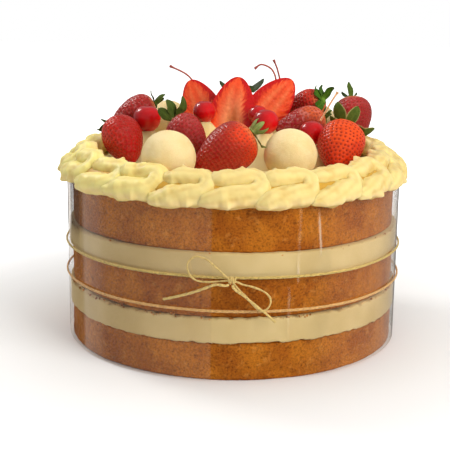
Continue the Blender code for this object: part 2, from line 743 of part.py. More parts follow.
def calyx(name, length, width, leaves, place):
    """The leaves of a strawberry, joined over their low core."""
    turn = np.arange(CORE_SIDES_AROUND) / CORE_SIDES_AROUND * math.tau
    low = float(shoulder_level(np.zeros(1), length, width)[0]) + GAP
    rings = []
    for radius, level in zip(CORE_RADII, (low, low + CORE_HEIGHT)):
        levels = np.full(CORE_SIDES_AROUND, level)
        rings.append(np.stack([radius * np.cos(turn), radius * np.sin(turn), levels], 1))
    core = add_object(name, closed_rings(rings, name), "leaf")
    blades = []
    for number, (way, reach) in enumerate(leaves):
        own_way = place.to_3x3().inverted() @ Vector(way).normalized()
        blade = leaf_mesh(f"{name}_{number}", own_way, reach, length, width)
        blades.append(add_object(f"{name}_{number}", blade, "leaf"))
    combine(core, blades, "UNION")
    core.data.transform(place)
    return core


def placed(middle, tip, looks=(0.0, -1.0, 0.0), turn=0.0):
    """The place of a berry: -Z runs to its tip, and -Y looks the given way."""
    down = Vector(tip).normalized()
    front = Vector(looks) - down * Vector(looks).dot(down)
    front.normalize()
    side = (-front).cross(-down)
    rotation = Matrix((side, -front, -down)).transposed().to_4x4()
    own_turn = Matrix.Rotation(math.radians(turn), 4, "Z")
    return Matrix.Translation(Vector(middle)) @ rotation @ own_turn


def half_mesh(name, length, width, hollow, seed):
    """Half a strawberry, its cut face at -Y, with the hollow core sunk into the face."""
    draw = np.random.default_rng(seed)
    lean = draw.uniform(0, math.tau)
    turn = np.linspace(0, math.pi, BERRY_SIDES // 2 + 1)
    across = np.linspace(-1, 1, FACE_COLUMNS + 2)[1:-1]
    rings = []
    for share in np.linspace(*BERRY_SPAN, BERRY_RINGS + 1):
        half = width / 2 * berry_profile(share, HALF_FULLNESS)
        back = half * (1 + TWOFOLD_LOBE * np.cos(2 * turn + lean) * np.sin(turn))
        off_length, off_width = (share - HOLLOW_MIDDLE) / HOLLOW_LENGTH, half * across / HOLLOW_WIDTH
        sunk = hollow * np.exp(-(off_length**2) - off_width**2)
        x = np.concatenate([back * np.cos(turn), half * across])
        y = np.concatenate([back * np.sin(turn), sunk])
        rings.append(np.stack([x, y, np.full(x.size, length * (0.5 - share))], 1))
    top, bottom = (0, TOP_POLE_BACK, length / 2 - POLE_DROP), (0, TIP_POLE_BACK, -length / 2)
    return closed_rings(rings, name, start=top, end=bottom)


def ball_mesh(name, radius, sides, rings, dimple=0.0):
    """A ball, with a dimple at the top where a stem sits."""
    turn = np.arange(sides) / sides * math.tau
    skin = []
    for polar in np.linspace(0, math.pi, rings + 1)[1:-1]:
        reach = radius * (1 - dimple * math.exp(-((polar / DIMPLE_REACH) ** 2)))
        skin.append(np.stack([
            reach * math.sin(polar) * np.cos(turn),
            reach * math.sin(polar) * np.sin(turn),
            np.full(sides, reach * math.cos(polar)),
        ], 1))
    return closed_rings(skin, name, start=(0, 0, radius * (1 - dimple)), end=(0, 0, -radius))


def smooth_route(points, count=None, spacing=None):
    """Evenly spaced points on a smooth curve through the route's own points: as many as the
    count, or as the spacing asks."""
    points = np.asarray(points, float)
    padded = np.vstack([2 * points[0] - points[1], points, 2 * points[-1] - points[-2]])
    fine = []
    for k in range(len(points) - 1):
        a, b, c, d = padded[k : k + 4]
        square, cube = 2 * a - 5 * b + 4 * c - d, 3 * b - a - 3 * c + d
        for t in np.linspace(0, 1, 12, endpoint=False):
            fine.append(b + 0.5 * ((c - a) * t + square * t**2 + cube * t**3))
    fine = np.array([*fine, points[-1]])
    along = np.concatenate([[0], np.cumsum(np.linalg.norm(np.diff(fine, axis=0), axis=1))])
    if count is None:
        count = round(along[-1] / spacing) + 1
    at = np.linspace(0, along[-1], count)
    return np.stack([np.interp(at, along, fine[:, axis]) for axis in range(3)], 1)


def strand(name, points, radius, finish, sides):
    """A cord or a stem: a curve with a round bevel and closed ends."""
    curve = bpy.data.curves.new(name, "CURVE")
    curve.dimensions = "3D"
    curve.bevel_depth = radius
    curve.bevel_resolution = sides
    curve.use_fill_caps = True
    spline = curve.splines.new("POLY")
    spline.points.add(len(points) - 1)
    for point, place in zip(spline.points, points):
        point.co = (*place, 1.0)
    curve.materials.append(material(finish))
    piece = bpy.data.objects.new(name, curve)
    bpy.context.scene.collection.objects.link(piece)
    return piece


def round_the_cake(route):
    """Turn distances round the cake, heights and radii into places."""
    return [(r * math.sin(s / r), -r * math.cos(s / r), z) for s, z, r in route]


def bow():
    """The knot on the upper twine, with two loops and two tails."""
    knot = ball_mesh("bow_knot", 0.5, KNOT_SIDES, KNOT_RINGS)
    knot.transform(Matrix.Diagonal((*KNOT_SIZE, 1.0)))
    add_object("bow_knot", knot, "twine", Matrix.Translation((0.0, -KNOT_RADIUS, KNOT_LEVEL)))
    for name, route in BOW_ROUTES.items():
        diameter = BOW_DIAMETERS[name]
        points = smooth_route(round_the_cake(route), spacing=DIAMETERS_A_POINT * diameter)
        strand(name, points, diameter / 2, "twine", 2)


def layers():
    """The sponges and the creams between them, bottom to top, and the cream on top."""
    bottom = 0.0
    for name, top, radius, finish, seed, unevenness in LAYERS:
        layer(name, bottom, top, radius, finish, seed, unevenness)
        bottom = top + GAP
    return add_object("cream_top", top_cream_mesh("cream_top"), "cream")


def toppings():
    """Everything on top, and a slightly larger copy of each that presses into the cream."""
    presses = []
    for seed, (name, middle, tip, length, width, turn) in enumerate(STRAWBERRIES):
        place = placed(middle, tip, turn=turn)
        add_object(name, berry_mesh(name, length, width, seed), "berry", place)
        calyx(f"{name}_calyx", length, width, LEAVES[name], place)
        larger = (PRESS_GROWTH * length, PRESS_GROWTH * width)
        press = berry_mesh(name, *larger, seed, PRESS_SIDES, PRESS_RINGS)
        presses.append(add_object(f"press_{name}", press, "berry", place))
    for seed, (name, middle, tip, looks, length, width, depth) in enumerate(HALVES):
        place = placed(middle, tip, looks)
        add_object(name, half_mesh(name, length, width, depth, seed), "cut_berry", place)
        press = half_mesh(name, length + HALF_PRESS, width + 2 * HALF_PRESS, 0.0, seed)
        press.transform(Matrix.Translation((0, -HALF_PRESS / 2, 0)))
        presses.append(add_object(f"press_{name}", press, "berry", place))
    for name, middle in SWEETS:
        place = Matrix.Translation(middle)
        add_object(name, ball_mesh(name, SWEET_RADIUS, SWEET_SIDES, SWEET_RINGS), "sweet", place)
        press = ball_mesh(name, PRESS_GROWTH * SWEET_RADIUS, PRESS_SIDES + 2, PRESS_RINGS + 2)
        presses.append(add_object(f"press_{name}", press, "sweet", place))
    for name, middle, radius in CHERRIES:
        place = Matrix.Translation(middle)
        cherry = ball_mesh(name, radius, CHERRY_SIDES, CHERRY_RINGS, dimple=CHERRY_DIMPLE)
        add_object(name, cherry, "cherry", place)
        press = ball_mesh(name, PRESS_GROWTH * radius, PRESS_SIDES, PRESS_RINGS)
        presses.append(add_object(f"press_{name}", press, "cherry", place))
    for name, route in STEMS.items():
        strand(name, smooth_route(route, STEM_POINTS), STEM_RADIUS, "stem", 1)
    return presses


def copies(pieces):
    """Separate objects of the same shapes, for a second cut."""
    made = []
    for piece in pieces:
        twin = piece.copy()
        bpy.context.scene.collection.objects.link(twin)
        made.append(twin)
    return made


def main():
    """Build the cake from the bottom up."""
    clear_scene()
    top_cream = layers()
    collar()
    twine("twine_upper", UPPER_TWINE_LEVEL)
    twine("twine_lower", LOWER_TWINE_LEVEL)
    bow()
    presses = toppings()
    combine(top_cream, copies(presses), "DIFFERENCE")
    ring = border()
    seat = add_object("seat", seat_mesh("seat"), "cream")
    combine(ring, [seat, *presses], "DIFFERENCE")


main()
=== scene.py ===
"""A round strawberry cake, dressed: sponge and cream behind a clear collar, twine with a
bow, a piped border, and strawberries, halves, round sweets and cherries on a cream heap.

Metres, +Z up. The origin is the centre of the underside, and the front faces -Y. An angle
round the cake is measured from the front, towards +X.
"""

import itertools
import logging
import math
from collections.abc import Sequence
from dataclasses import dataclass, field
from enum import Enum

import bpy
import numpy as np
from mathutils import Matrix, Vector


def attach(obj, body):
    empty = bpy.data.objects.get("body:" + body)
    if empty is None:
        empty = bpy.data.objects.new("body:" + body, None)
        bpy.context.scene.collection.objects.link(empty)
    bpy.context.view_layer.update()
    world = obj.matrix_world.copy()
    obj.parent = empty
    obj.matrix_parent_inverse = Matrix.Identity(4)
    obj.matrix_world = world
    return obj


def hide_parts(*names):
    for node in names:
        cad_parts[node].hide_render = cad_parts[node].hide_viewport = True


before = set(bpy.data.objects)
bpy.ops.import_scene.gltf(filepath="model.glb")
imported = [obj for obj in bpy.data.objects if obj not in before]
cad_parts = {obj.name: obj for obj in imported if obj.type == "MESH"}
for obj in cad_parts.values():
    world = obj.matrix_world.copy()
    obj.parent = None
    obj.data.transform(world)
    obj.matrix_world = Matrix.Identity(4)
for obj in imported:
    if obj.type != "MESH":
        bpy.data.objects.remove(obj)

Array = np.ndarray
Place = tuple[float, float, float]
Colour = tuple[float, float, float]
Socket = bpy.types.NodeSocket
Material = bpy.types.Material
Input = bpy.types.NodeSocket | float | Colour
Lumps = tuple[float, float, float]
Stops = Sequence[tuple[float, Colour]]
Support = tuple[float, float, float, float]

LOG = logging.getLogger("cake")
BODY = "root"
FULL_TURN = math.tau
WHITE = (1.0, 1.0, 1.0)
# What leaves only a vector's level part.
FLAT = (1.0, 1.0, 0.0)
# The least gap between two pieces.
GAP = 0.0003
# How many random numbers the soft noise has along each axis before it repeats.
LATTICE = 24
# The length that the patterns of a cord count as one.
FIBRE = 0.0008
# The waves of an uneven edge: how often each goes up and down round the cake, and its share.
RIPPLES = ((3, 0.35), (5, 0.25), (9, 0.25), (14, 0.15))


class Slot(Enum):
    """The record's material slots."""

    SPONGE = "sponge"
    CREAM = "cream"
    BORDER_CREAM = "border_cream"
    COLLAR = "collar"
    TWINE = "twine"
    BERRY = "berry"
    CUT_BERRY = "cut_berry"
    LEAF = "leaf"
    SWEET = "sweet"
    CHERRY = "cherry"
    STEM = "stem"


class StrandEnd(Enum):
    """Where a strand of the bow ends."""

    LOOP = "object"
    TAIL = "bare"


def light(red: float, green: float, blue: float) -> Colour:
    """A screen colour as amounts of light.

    Each channel, from 0 to 255, goes through the screen's own curve: a straight part near
    black, and a power of 2.4 above it.

    Args:
        red: The red channel.
        green: The green channel.
        blue: The blue channel.

    Returns:
        The three amounts, from 0 to 1.
    """
    channels = np.array([red, green, blue]) / 255
    amounts = np.where(channels <= 0.04045, channels / 12.92, ((channels + 0.055) / 1.055) ** 2.4)
    return tuple(float(amount) for amount in amounts)


def rise(low: float, high: float, value: Array) -> Array:
    """0 below low, 1 above high, and an S-shaped cubic between.

    Args:
        low: Where the rise starts.
        high: Where it ends, which may be below low for a fall.
        value: The numbers to read.

    Returns:
        The share of the rise at each number.
    """
    share = np.clip((value - low) / (high - low), 0, 1)
    return share * share * (3 - 2 * share)


def bell(value: Array, width: float) -> Array:
    """1 at 0, and e to the minus square of the value over the width elsewhere."""
    return np.exp(-((value / width) ** 2))


def relief(points: Array, size: float, seed: int, octaves: int = 3) -> Array:
    """Soft random heights at points in space.

    Random numbers stand on a cubic lattice, and a height is the smooth blend of the eight
    round the point. Each octave is half as wide and half as high as the one before.

    Args:
        points: Places, with X, Y and Z on the last axis.
        size: The width of the widest lumps, in metres.
        seed: Which random numbers to draw.
        octaves: How many widths are added up.

    Returns:
        Heights between about -1 and 1.
    """
    total = np.zeros(points.shape[:-1])
    for octave in range(octaves):
        table = np.random.default_rng(seed + octave).uniform(-1, 1, (LATTICE,) * 3)
        cell = points / size * 2**octave
        low = np.floor(cell).astype(int)
        part = cell - low
        part = part * part * (3 - 2 * part)
        for corner in itertools.product((0, 1), repeat=3):
            at = (low + corner) % LATTICE
            share = np.prod(np.where(corner, part, 1 - part), axis=-1)
            total += share * table[at[..., 0], at[..., 1], at[..., 2]] / 2**octave
    return total


def blend(share: Array, first: Colour | Array, second: Colour | Array) -> Array:
    """One colour for each share: the first at 0 and the second at 1."""
    share = np.clip(share, 0, 1)[..., None]
    return (1 - share) * np.asarray(first) + share * np.asarray(second)


def unit(vectors: Array) -> Array:
    """Vectors brought to length 1."""
    return vectors / np.maximum(np.linalg.norm(vectors, axis=-1, keepdims=True), 1e-12)


def facing(grid: Array) -> Array:
    """The way a grid's skin looks at each point.

    The cross product of the steps along the rings and round them.

    Args:
        grid: Rings of points, closed round the second axis.

    Returns:
        Unit normals, turned away from the middle of the grid.
    """
    along = np.gradient(grid, axis=0)
    around = np.roll(grid, -1, 1) - np.roll(grid, 1, 1)
    normal = unit(np.cross(along, around))
    outward = ((grid - grid.mean((0, 1))) * normal).sum() >= 0
    return normal if outward else -normal


def run_along(points: Array) -> Array:
    """How far along a line through points each of them is, in metres."""
    return np.concatenate([[0], np.cumsum(np.linalg.norm(np.diff(points, axis=0), axis=1))])


def route_length(points: Array) -> float:
    """The length of a line through points, in metres."""
    return float(np.linalg.norm(np.diff(points, axis=0), axis=1).sum())


def smooth_route(points: Sequence[Place] | Array, count: int) -> Array:
    """Evenly spaced points on a smooth curve through a route.

    Each stretch is the cubic whose slopes at its ends follow the neighbouring points, and
    the points are then spaced evenly by length.

    Args:
        points: The route's own points.
        count: How many points are wanted.

    Returns:
        The points, one a row.
    """
    route = np.asarray(points, float)
    padded = np.vstack([2 * route[0] - route[1], route, 2 * route[-1] - route[-2]])
    a, b, c, d = (padded[k : len(padded) - 3 + k, None] for k in range(4))
    t = np.linspace(0, 1, 12, endpoint=False)[None, :, None]
    bend = 2 * b + (c - a) * t + (2 * a - 5 * b + 4 * c - d) * t**2 + (3 * b - a - 3 * c + d) * t**3
    fine = np.vstack([0.5 * bend.reshape(-1, 3), route[-1:]])
    along = run_along(fine)
    at = np.linspace(0, along[-1], count)
    return np.stack([np.interp(at, along, fine[:, axis]) for axis in range(3)], 1)


def round_angles(count: int) -> Array:
    """Evenly spaced angles, once round."""
    return np.arange(count) / count * FULL_TURN


def ripple(angle: Array, seed: int, height: float) -> Array:
    """An uneven edge: waves round the cake with seeded phases.

    Args:
        angle: Angles round the cake.
        seed: Which phases to draw.
        height: The most that the edge moves.

    Returns:
        How far out the edge stands at each angle.
    """
    draw = np.random.default_rng(seed)
    total = np.zeros_like(angle)
    for waves, share in RIPPLES:
        total = total + share * np.cos(waves * angle + draw.uniform(0, FULL_TURN))
    return height * total


def round_cake(angle: Array, radius: Array | float, level: Array | float) -> Array:
    """Places from an angle round the cake, a distance from its axis and a height."""
    x, y, z = np.broadcast_arrays(radius * np.sin(angle), -radius * np.cos(angle), level)
    return np.stack([x, y, z], -1).astype(float)


def ball_ways(polar: Array, turn: Array) -> Array:
    """Unit vectors from their angle from straight up and their angle round."""
    flat = np.sin(polar)
    return np.stack([flat * np.cos(turn), flat * np.sin(turn), np.cos(polar) + 0 * turn], -1)


def on_cord(run: Array, angle: Array) -> Array:
    """Where each point is on a cord: how far along, and the section's two axes."""
    run, angle = np.broadcast_arrays(run, angle)
    return np.stack([run, np.cos(angle), np.sin(angle)], -1)


def standing(middle: Place, tip: Place, looks: Place = (0.0, -1.0, 0.0), turn: float = 0.0) -> Matrix:
    """The place of a berry: its -Z runs to its tip, and its -Y looks the given way.

    Args:
        middle: The middle of the berry.
        tip: The way to its tip.
        looks: The way its front looks.
        turn: A turn about its own axis, in degrees.

    Returns:
        The matrix from the berry's own axes to the cake's.
    """
    down = Vector(tip).normalized()
    front = Vector(looks) - down * Vector(looks).dot(down)
    front.normalize()
    side = (-front).cross(-down)
    rotation = Matrix((side, -front, -down)).transposed()
    own_turn = Matrix.Rotation(math.radians(turn), 4, "Z")
    return Matrix.Translation(Vector(middle)) @ rotation.to_4x4() @ own_turn


def carried(points: Array, place: Matrix) -> Array:
    """Points moved from a piece's own axes to the cake's."""
    matrix = np.array(place)
    return points @ matrix[:3, :3].T + matrix[:3, 3]


def tube(path: Array, outward: Array, across: Array, thick: Array, angles: Array) -> Array:
    """A cord's skin: an oval carried along a path.

    A ring's point is the path's point plus across times the cosine of its angle, sideways,
    plus thick times the sine, outwards.

    Args:
        path: The middle line's points.
        outward: The way that the cord's flat side looks, at each point.
        across: Half widths, for each ring or each ring and angle.
        thick: Half thicknesses, in the same form.
        angles: The angles round the section, for each ring and angle.

    Returns:
        The rings of points.
    """
    ahead = unit(np.gradient(path, axis=0))
    sideways = unit(np.cross(outward, ahead))
    upright = np.cross(ahead, sideways)
    side = (across * np.cos(angles))[..., None] * sideways[:, None, :]
    return path[:, None, :] + side + (thick * np.sin(angles))[..., None] * upright[:, None, :]


class Nodes:
    """A tree of shader nodes: patterns, sums and mixes."""

    def __init__(self, tree: bpy.types.NodeTree) -> None:
        """Works on the given tree."""
        self.tree = tree

    def feed(self, socket: Socket, value: Input) -> None:
        """Links a socket to another, or sets its number or colour."""
        if isinstance(value, bpy.types.NodeSocket):
            self.tree.links.new(value, socket)
        elif socket.type == "RGBA":
            socket.default_value = (*value, 1.0)
        else:
            socket.default_value = value

    def node(
        self, kind: str, inputs: dict[str | int, Input] | None = None, **settings: str
    ) -> bpy.types.Node:
        """A new node with its settings, and its inputs by name or number."""
        made = self.tree.nodes.new(kind)
        for setting, value in settings.items():
            setattr(made, setting, value)
        for socket, value in (inputs or {}).items():
            self.feed(made.inputs[socket], value)
        return made

    def place(self) -> Socket:
        """Object coordinates."""
        return self.node("ShaderNodeTexCoord").outputs["Object"]

    def stretched(self, vector: Socket, stretch: Place) -> Socket:
        """A vector with each axis multiplied."""
        return self.node("ShaderNodeMapping", {"Vector": vector, "Scale": stretch}).outputs["Vector"]

    def own(self, name: str, output: str = "Color") -> Socket:
        """A value that the piece's mesh carries."""
        return self.node("ShaderNodeAttribute", attribute_name=name).outputs[output]

    def noise(self, lumps: Lumps, vector: Socket | None = None) -> Socket:
        """Soft noise, from its lumps per metre, its detail and its roughness."""
        scale, detail, rough = lumps
        inputs = {"Vector": vector or self.place(), "Scale": scale, "Detail": detail, "Roughness": rough}
        return self.node("ShaderNodeTexNoise", inputs).outputs[0]

    def cells(self, scale: float) -> Socket:
        """The distance to the nearest of scattered points, for grains and pores."""
        inputs = {"Vector": self.place(), "Scale": scale}
        return self.node("ShaderNodeTexVoronoi", inputs).outputs["Distance"]

    def ramp(self, value: Socket, stops: Stops) -> Socket:
        """A colour for each value, between the stops' colours."""
        made = self.node("ShaderNodeValToRGB", {0: value})
        elements = made.color_ramp.elements
        for number, (at, colour) in enumerate(stops):
            element = elements[number] if number < 2 else elements.new(at)
            element.position = at
            element.color = (*colour, 1.0)
        return made.outputs[0]

    def mix(self, share: Input, first: Input, second: Input, way: str = "MIX") -> Socket:
        """Two colours, mixed by a share of the second."""
        inputs = {0: share, 6: first, 7: second}
        return self.node("ShaderNodeMix", inputs, data_type="RGBA", blend_type=way).outputs[2]

    def sum_of(self, way: str, first: Input, second: Input) -> Socket:
        """One sum, product or other result of two numbers."""
        return self.node("ShaderNodeMath", {0: first, 1: second}, operation=way).outputs[0]


class Paint(Nodes):
    """One material's nodes: its patterns, and how they reach the shader."""

    def __init__(self, name: str, sockets: dict[str, float | Colour]) -> None:
        """Starts a material.

        Args:
            name: The material's name.
            sockets: Constant values of the shader's own sockets.
        """
        self.material = bpy.data.materials.new(name)
        self.material.use_nodes = True
        super().__init__(self.material.node_tree)
        self.shader = self.tree.nodes["Principled BSDF"]
        for socket, value in sockets.items():
            self.feed(self.shader.inputs[socket], value)

    def colour(self, value: Socket) -> None:
        """Sends a colour to the shader."""
        self.feed(self.shader.inputs["Base Color"], value)

    def rough(self, value: Socket, low: float, high: float) -> None:
        """Sends a roughness between two amounts to the shader."""
        made = self.node("ShaderNodeMapRange", {"Value": value, "To Min": low, "To Max": high})
        self.feed(self.shader.inputs["Roughness"], made.outputs["Result"])

    def bump(self, height: Socket, distance: float, strength: float = 1.0) -> None:
        """Turns a height into relief on the shader."""
        made = self.node("ShaderNodeBump", {"Height": height, "Distance": distance, "Strength": strength})
        self.feed(self.shader.inputs["Normal"], made.outputs["Normal"])


@dataclass(frozen=True)
class TintedFinish:
    """A finish whose colour the mesh carries, mottled by soft noise.

    The noise also moves the roughness and, where no finer noise is given, the relief. It
    runs along the stalk where the finish is streaked.
    """

    name: str
    sockets: dict[str, float | Colour]
    lumps: Lumps
    stops: Stops
    rough: tuple[float, float]
    bump: tuple[float, float] | None = None
    fine: Lumps | None = None
    streaked: Place | None = None

    def material(self) -> Material:
        """The material."""
        paint = Paint(self.name, self.sockets)
        along = paint.stretched(paint.own("weave", "Vector"), self.streaked) if self.streaked else None
        mottle = paint.noise(self.lumps, along)
        paint.colour(paint.mix(1.0, paint.own("tint"), paint.ramp(mottle, self.stops), "MULTIPLY"))
        paint.rough(mottle, *self.rough)
        if self.bump:
            paint.bump(paint.noise(self.fine) if self.fine else mottle, *self.bump)
        return paint.material


def glow(weight: float, radius: Place, scale: float) -> dict[str, float | Colour]:
    """The shader's values for light that goes some way into a soft thing."""
    return {"Subsurface Weight": weight, "Subsurface Radius": radius, "Subsurface Scale": scale}


def cream_finish(name: str, rough: tuple[float, float], depth: float) -> TintedFinish:
    """Cream: faint clouds under a soft sheen, and a fine grain."""
    return TintedFinish(
        name,
        {"Specular IOR Level": 0.35, **glow(depth, (1.0, 0.75, 0.35), 0.003)},
        (110.0, 4, 0.55),
        ((0.3, (0.95, 0.94, 0.9)), (0.7, WHITE)),
        rough,
        (0.00008, 0.8),
        fine=(900.0, 3, 0.6),
    )


FILLING_CREAM = cream_finish("filling_cream", (0.44, 0.6), 0.12)
PIPED_CREAM = cream_finish("piped_cream", (0.36, 0.52), 0.25)
BERRY_SKIN = TintedFinish(
    "strawberry_skin",
    {
        "Specular IOR Level": 0.2, "Coat Weight": 0.22, "Coat Roughness": 0.1,
        **glow(0.03, (1.0, 0.3, 0.2), 0.002),
    },
    (260.0, 4, 0.6),
    ((0.3, (0.86, 0.8, 0.8)), (0.65, WHITE), (0.85, (1.06, 1.1, 1.1))),
    (0.28, 0.42),
    (0.0001, 0.7),
    fine=(1400.0, 3, 0.6),
)
BERRY_SEED = TintedFinish(
    "strawberry_seed",
    {"Specular IOR Level": 0.15},
    (300.0, 2, 0.5),
    ((0.35, (0.6, 0.5, 0.45)), (0.65, WHITE)),
    (0.3, 0.5),
)
BERRY_FLESH = TintedFinish(
    "strawberry_flesh",
    {"Coat Weight": 0.15, "Coat Roughness": 0.25, **glow(0.06, (1.0, 0.35, 0.2), 0.002)},
    (500.0, 4, 0.6),
    ((0.3, (0.9, 0.8, 0.78)), (0.6, WHITE), (0.8, (1.04, 1.12, 1.12))),
    (0.28, 0.48),
    (0.00015, 0.6),
)
CALYX_LEAF = TintedFinish(
    "calyx_leaf",
    {"Specular IOR Level": 0.15},
    (420.0, 4, 0.6),
    ((0.3, (0.72, 0.78, 0.7)), (0.6, WHITE), (0.85, (1.25, 1.2, 1.1))),
    (0.38, 0.6),
    (0.0002, 0.6),
)
CHERRY_GLAZE = TintedFinish(
    "cherry_glaze",
    {
        "Specular IOR Level": 0.25, "Coat Weight": 0.6, "Coat Roughness": 0.07,
        **glow(0.1, (1.0, 0.15, 0.1), 0.004),
    },
    (160.0, 3, 0.5),
    ((0.3, (0.88, 0.8, 0.8)), (0.7, WHITE)),
    (0.3, 0.4),
    (0.0003, 0.25),
)
CHERRY_STEM = TintedFinish(
    "cherry_stem",
    {"Coat Weight": 0.1},
    (2.2, 3, 0.6),
    ((0.3, (0.7, 0.6, 0.55)), (0.65, WHITE)),
    (0.4, 0.6),
    streaked=(0.4, 1.0, 1.0),
)


@dataclass(frozen=True)
class SpongeFinish:
    """Baked crumb: the mesh carries its colour, grains break it up, and a painted shade darkens the
    pores.
    """

    grains: Lumps = (850.0, 4, 0.65)
    pores: float = 700.0
    grain_stops: Stops = ((0.3, light(176, 166, 150)), (0.5, WHITE), (0.72, (1.28, 1.26, 1.25)))
    pore_shade_stops: Stops = ((0.0, light(170, 140, 110)), (0.2, WHITE))

    def material(self) -> Material:
        """The material."""
        paint = Paint("sponge_crumb", {"Roughness": 0.85, "Specular IOR Level": 0.25})
        grain, pore = paint.noise(self.grains), paint.cells(self.pores)
        speckled = paint.mix(1.0, paint.own("tint"), paint.ramp(grain, self.grain_stops), "MULTIPLY")
        # Painted shade: the pores' ramp darkens the crumb round scattered points.
        paint.colour(paint.mix(0.6, speckled, paint.ramp(pore, self.pore_shade_stops), "MULTIPLY"))
        paint.rough(grain, 0.75, 0.95)
        paint.bump(paint.sum_of("ADD", grain, paint.sum_of("MULTIPLY", pore, 0.6)), 0.0004)
        return paint.material


@dataclass(frozen=True)
class FilmFinish:
    """Clear film: it lets light through, mirrors a little, and shows a pale haze in places,
    partly the film being fogged and partly a painted reflection.

    The mesh carries how much it mirrors, how much haze it shows and how much it dims what
    lies behind, a painted shade.
    """

    fog_and_glare: Colour = light(250, 226, 196)
    head_on: float = 0.08
    rim: float = 0.6
    power: float = 5.0

    def material(self) -> Material:
        """The material.

        A face mirrors the head-on share, and the rest by a power of how far it turns away.
        By the rim share of that power it lets less through, a painted shade on the film's edges.
        """
        paint = Paint("clear_film", {"Metallic": 1.0, "Roughness": 0.04, "Base Color": WHITE})
        channels = paint.node("ShaderNodeSeparateColor", {0: paint.own("tint")}).outputs
        turned_away = paint.node("ShaderNodeLayerWeight", {"Blend": 0.5}).outputs["Facing"]
        grazing = paint.sum_of("POWER", turned_away, self.power)
        shine = paint.sum_of("ADD", self.head_on, paint.sum_of("MULTIPLY", grazing, 1.0 - self.head_on))
        mirror = paint.sum_of("MULTIPLY", shine, channels[0])
        # Painted shade: less passes where the film turns away, which greys its edges.
        rim = paint.sum_of("MULTIPLY", paint.sum_of("MULTIPLY", grazing, self.rim), channels[0])
        passed = paint.sum_of("SUBTRACT", 1.0, paint.sum_of("ADD", rim, channels[2]))
        clear = paint.node("ShaderNodeBsdfTransparent", {"Color": passed}).outputs[0]
        # A pale diffuse haze, partly the film being fogged and partly a painted reflection.
        fogged = paint.node("ShaderNodeBsdfDiffuse", {"Color": self.fog_and_glare}).outputs[0]
        film = paint.node("ShaderNodeMixShader", {0: channels[1], 1: clear, 2: fogged}).outputs[0]
        whole = paint.node("ShaderNodeMixShader", {0: mirror, 1: film, 2: paint.shader.outputs[0]})
        paint.feed(paint.tree.nodes["Material Output"].inputs["Surface"], whole.outputs[0])
        return paint.material


@dataclass(frozen=True)
class TwineFinish:
    """Straw-coloured paper twine: fibres run along it, with darker ones between."""

    name: str
    pale: Colour
    dark: Colour
    worn: float = 1.25

    def material(self) -> Material:
        """The material."""
        paint = Paint(self.name, {"Roughness": 0.62, "Sheen Weight": 0.15})
        weave = paint.own("weave", "Vector")
        fibre = paint.noise((2.6, 3, 0.6), paint.stretched(weave, (0.35, 1.0, 1.0)))
        patch = paint.noise((1.3, 2, 0.5), paint.stretched(weave, (0.6, 0.4, 0.4)))
        palest = tuple(min(1.0, self.worn * channel) for channel in self.pale)
        straw = paint.ramp(fibre, ((0.32, self.dark), (0.5, self.pale), (0.72, palest)))
        shade = paint.ramp(patch, ((0.3, (0.8, 0.8, 0.78)), (0.7, WHITE)))
        paint.colour(paint.mix(1.0, straw, shade, "MULTIPLY"))
        paint.rough(fibre, 0.5, 0.75)
        paint.bump(fibre, 0.0002, 0.8)
        return paint.material


@dataclass(frozen=True)
class SweetFinish:
    """Round sweets: a pale coat with fine powder and faint clouds."""

    cloud_stops: Stops = ((0.3, (0.98, 0.965, 0.93)), (0.7, WHITE))
    powder_stops: Stops = ((0.3, (0.96, 0.94, 0.9)), (0.6, WHITE))

    def material(self) -> Material:
        """The material."""
        sockets = {"Subsurface Weight": 0.1, "Subsurface Scale": 0.002, "Sheen Weight": 0.1}
        paint = Paint("powdered_sweet", sockets)
        powder, cloud = paint.noise((1500.0, 3, 0.7)), paint.noise((130.0, 3, 0.5))
        clouded = paint.mix(1.0, paint.own("tint"), paint.ramp(cloud, self.cloud_stops), "MULTIPLY")
        paint.colour(paint.mix(1.0, clouded, paint.ramp(powder, self.powder_stops), "MULTIPLY"))
        paint.rough(powder, 0.6, 0.85)
        paint.bump(powder, 0.00018)
        return paint.material


@dataclass(frozen=True)
class FloorFinish:
    """The studio's plain pale floor, which fades to white away from the cake."""

    shade: Colour = (0.88, 0.88, 0.88)
    near: float = 0.12
    far: float = 0.45

    def material(self) -> Material:
        """The material.

        To the camera alone it also glows, by a share that grows with the distance from
        the middle of the floor.
        """
        sockets = {"Base Color": self.shade, "Roughness": 0.9, "Specular IOR Level": 0.0}
        paint = Paint("studio_floor", {**sockets, "Emission Color": WHITE})
        away = paint.node("ShaderNodeVectorMath", {0: paint.place()}, operation="LENGTH")
        limits = {"Value": away.outputs["Value"], "From Min": self.near, "From Max": self.far}
        fade = paint.node("ShaderNodeMapRange", limits, interpolation_type="SMOOTHSTEP")
        seen = paint.node("ShaderNodeLightPath").outputs["Is Camera Ray"]
        strength = paint.sum_of("MULTIPLY", fade.outputs["Result"], seen)
        paint.feed(paint.shader.inputs["Emission Strength"], strength)
        return paint.material



@dataclass
class Shell:
    """One closed skin of a piece: points, faces and what each point carries."""

    points: Array
    quads: Array
    triangles: Array
    tint: Array
    weave: Array
    finish: int = 0

    def turned_out(self) -> "Shell":
        """The shell with its faces outwards: its signed volume comes out positive."""
        corners = np.concatenate([self.quads[:, :3], self.quads[:, [0, 2, 3]], self.triangles])
        a, b, c = (self.points[corners[:, k]] for k in range(3))
        if (a * np.cross(b, c)).sum() < 0:
            self.quads = self.quads[:, ::-1]
            self.triangles = self.triangles[:, ::-1]
        return self


def joined(rings: int, sides: int, closed: bool) -> Array:
    """The four-sided faces between neighbouring rings of points.

    Args:
        rings: How many rings there are.
        sides: How many points a ring has.
        closed: Whether the last ring joins the first.

    Returns:
        The four corners of each face.
    """
    side = np.arange(sides)
    following = (side + 1) % sides
    here = (np.arange(rings if closed else rings - 1) * sides)[:, None]
    there = (here + sides) % (rings * sides)
    faces = np.stack([here + side, here + following, there + following, there + side], -1)
    return faces.reshape(-1, 4)


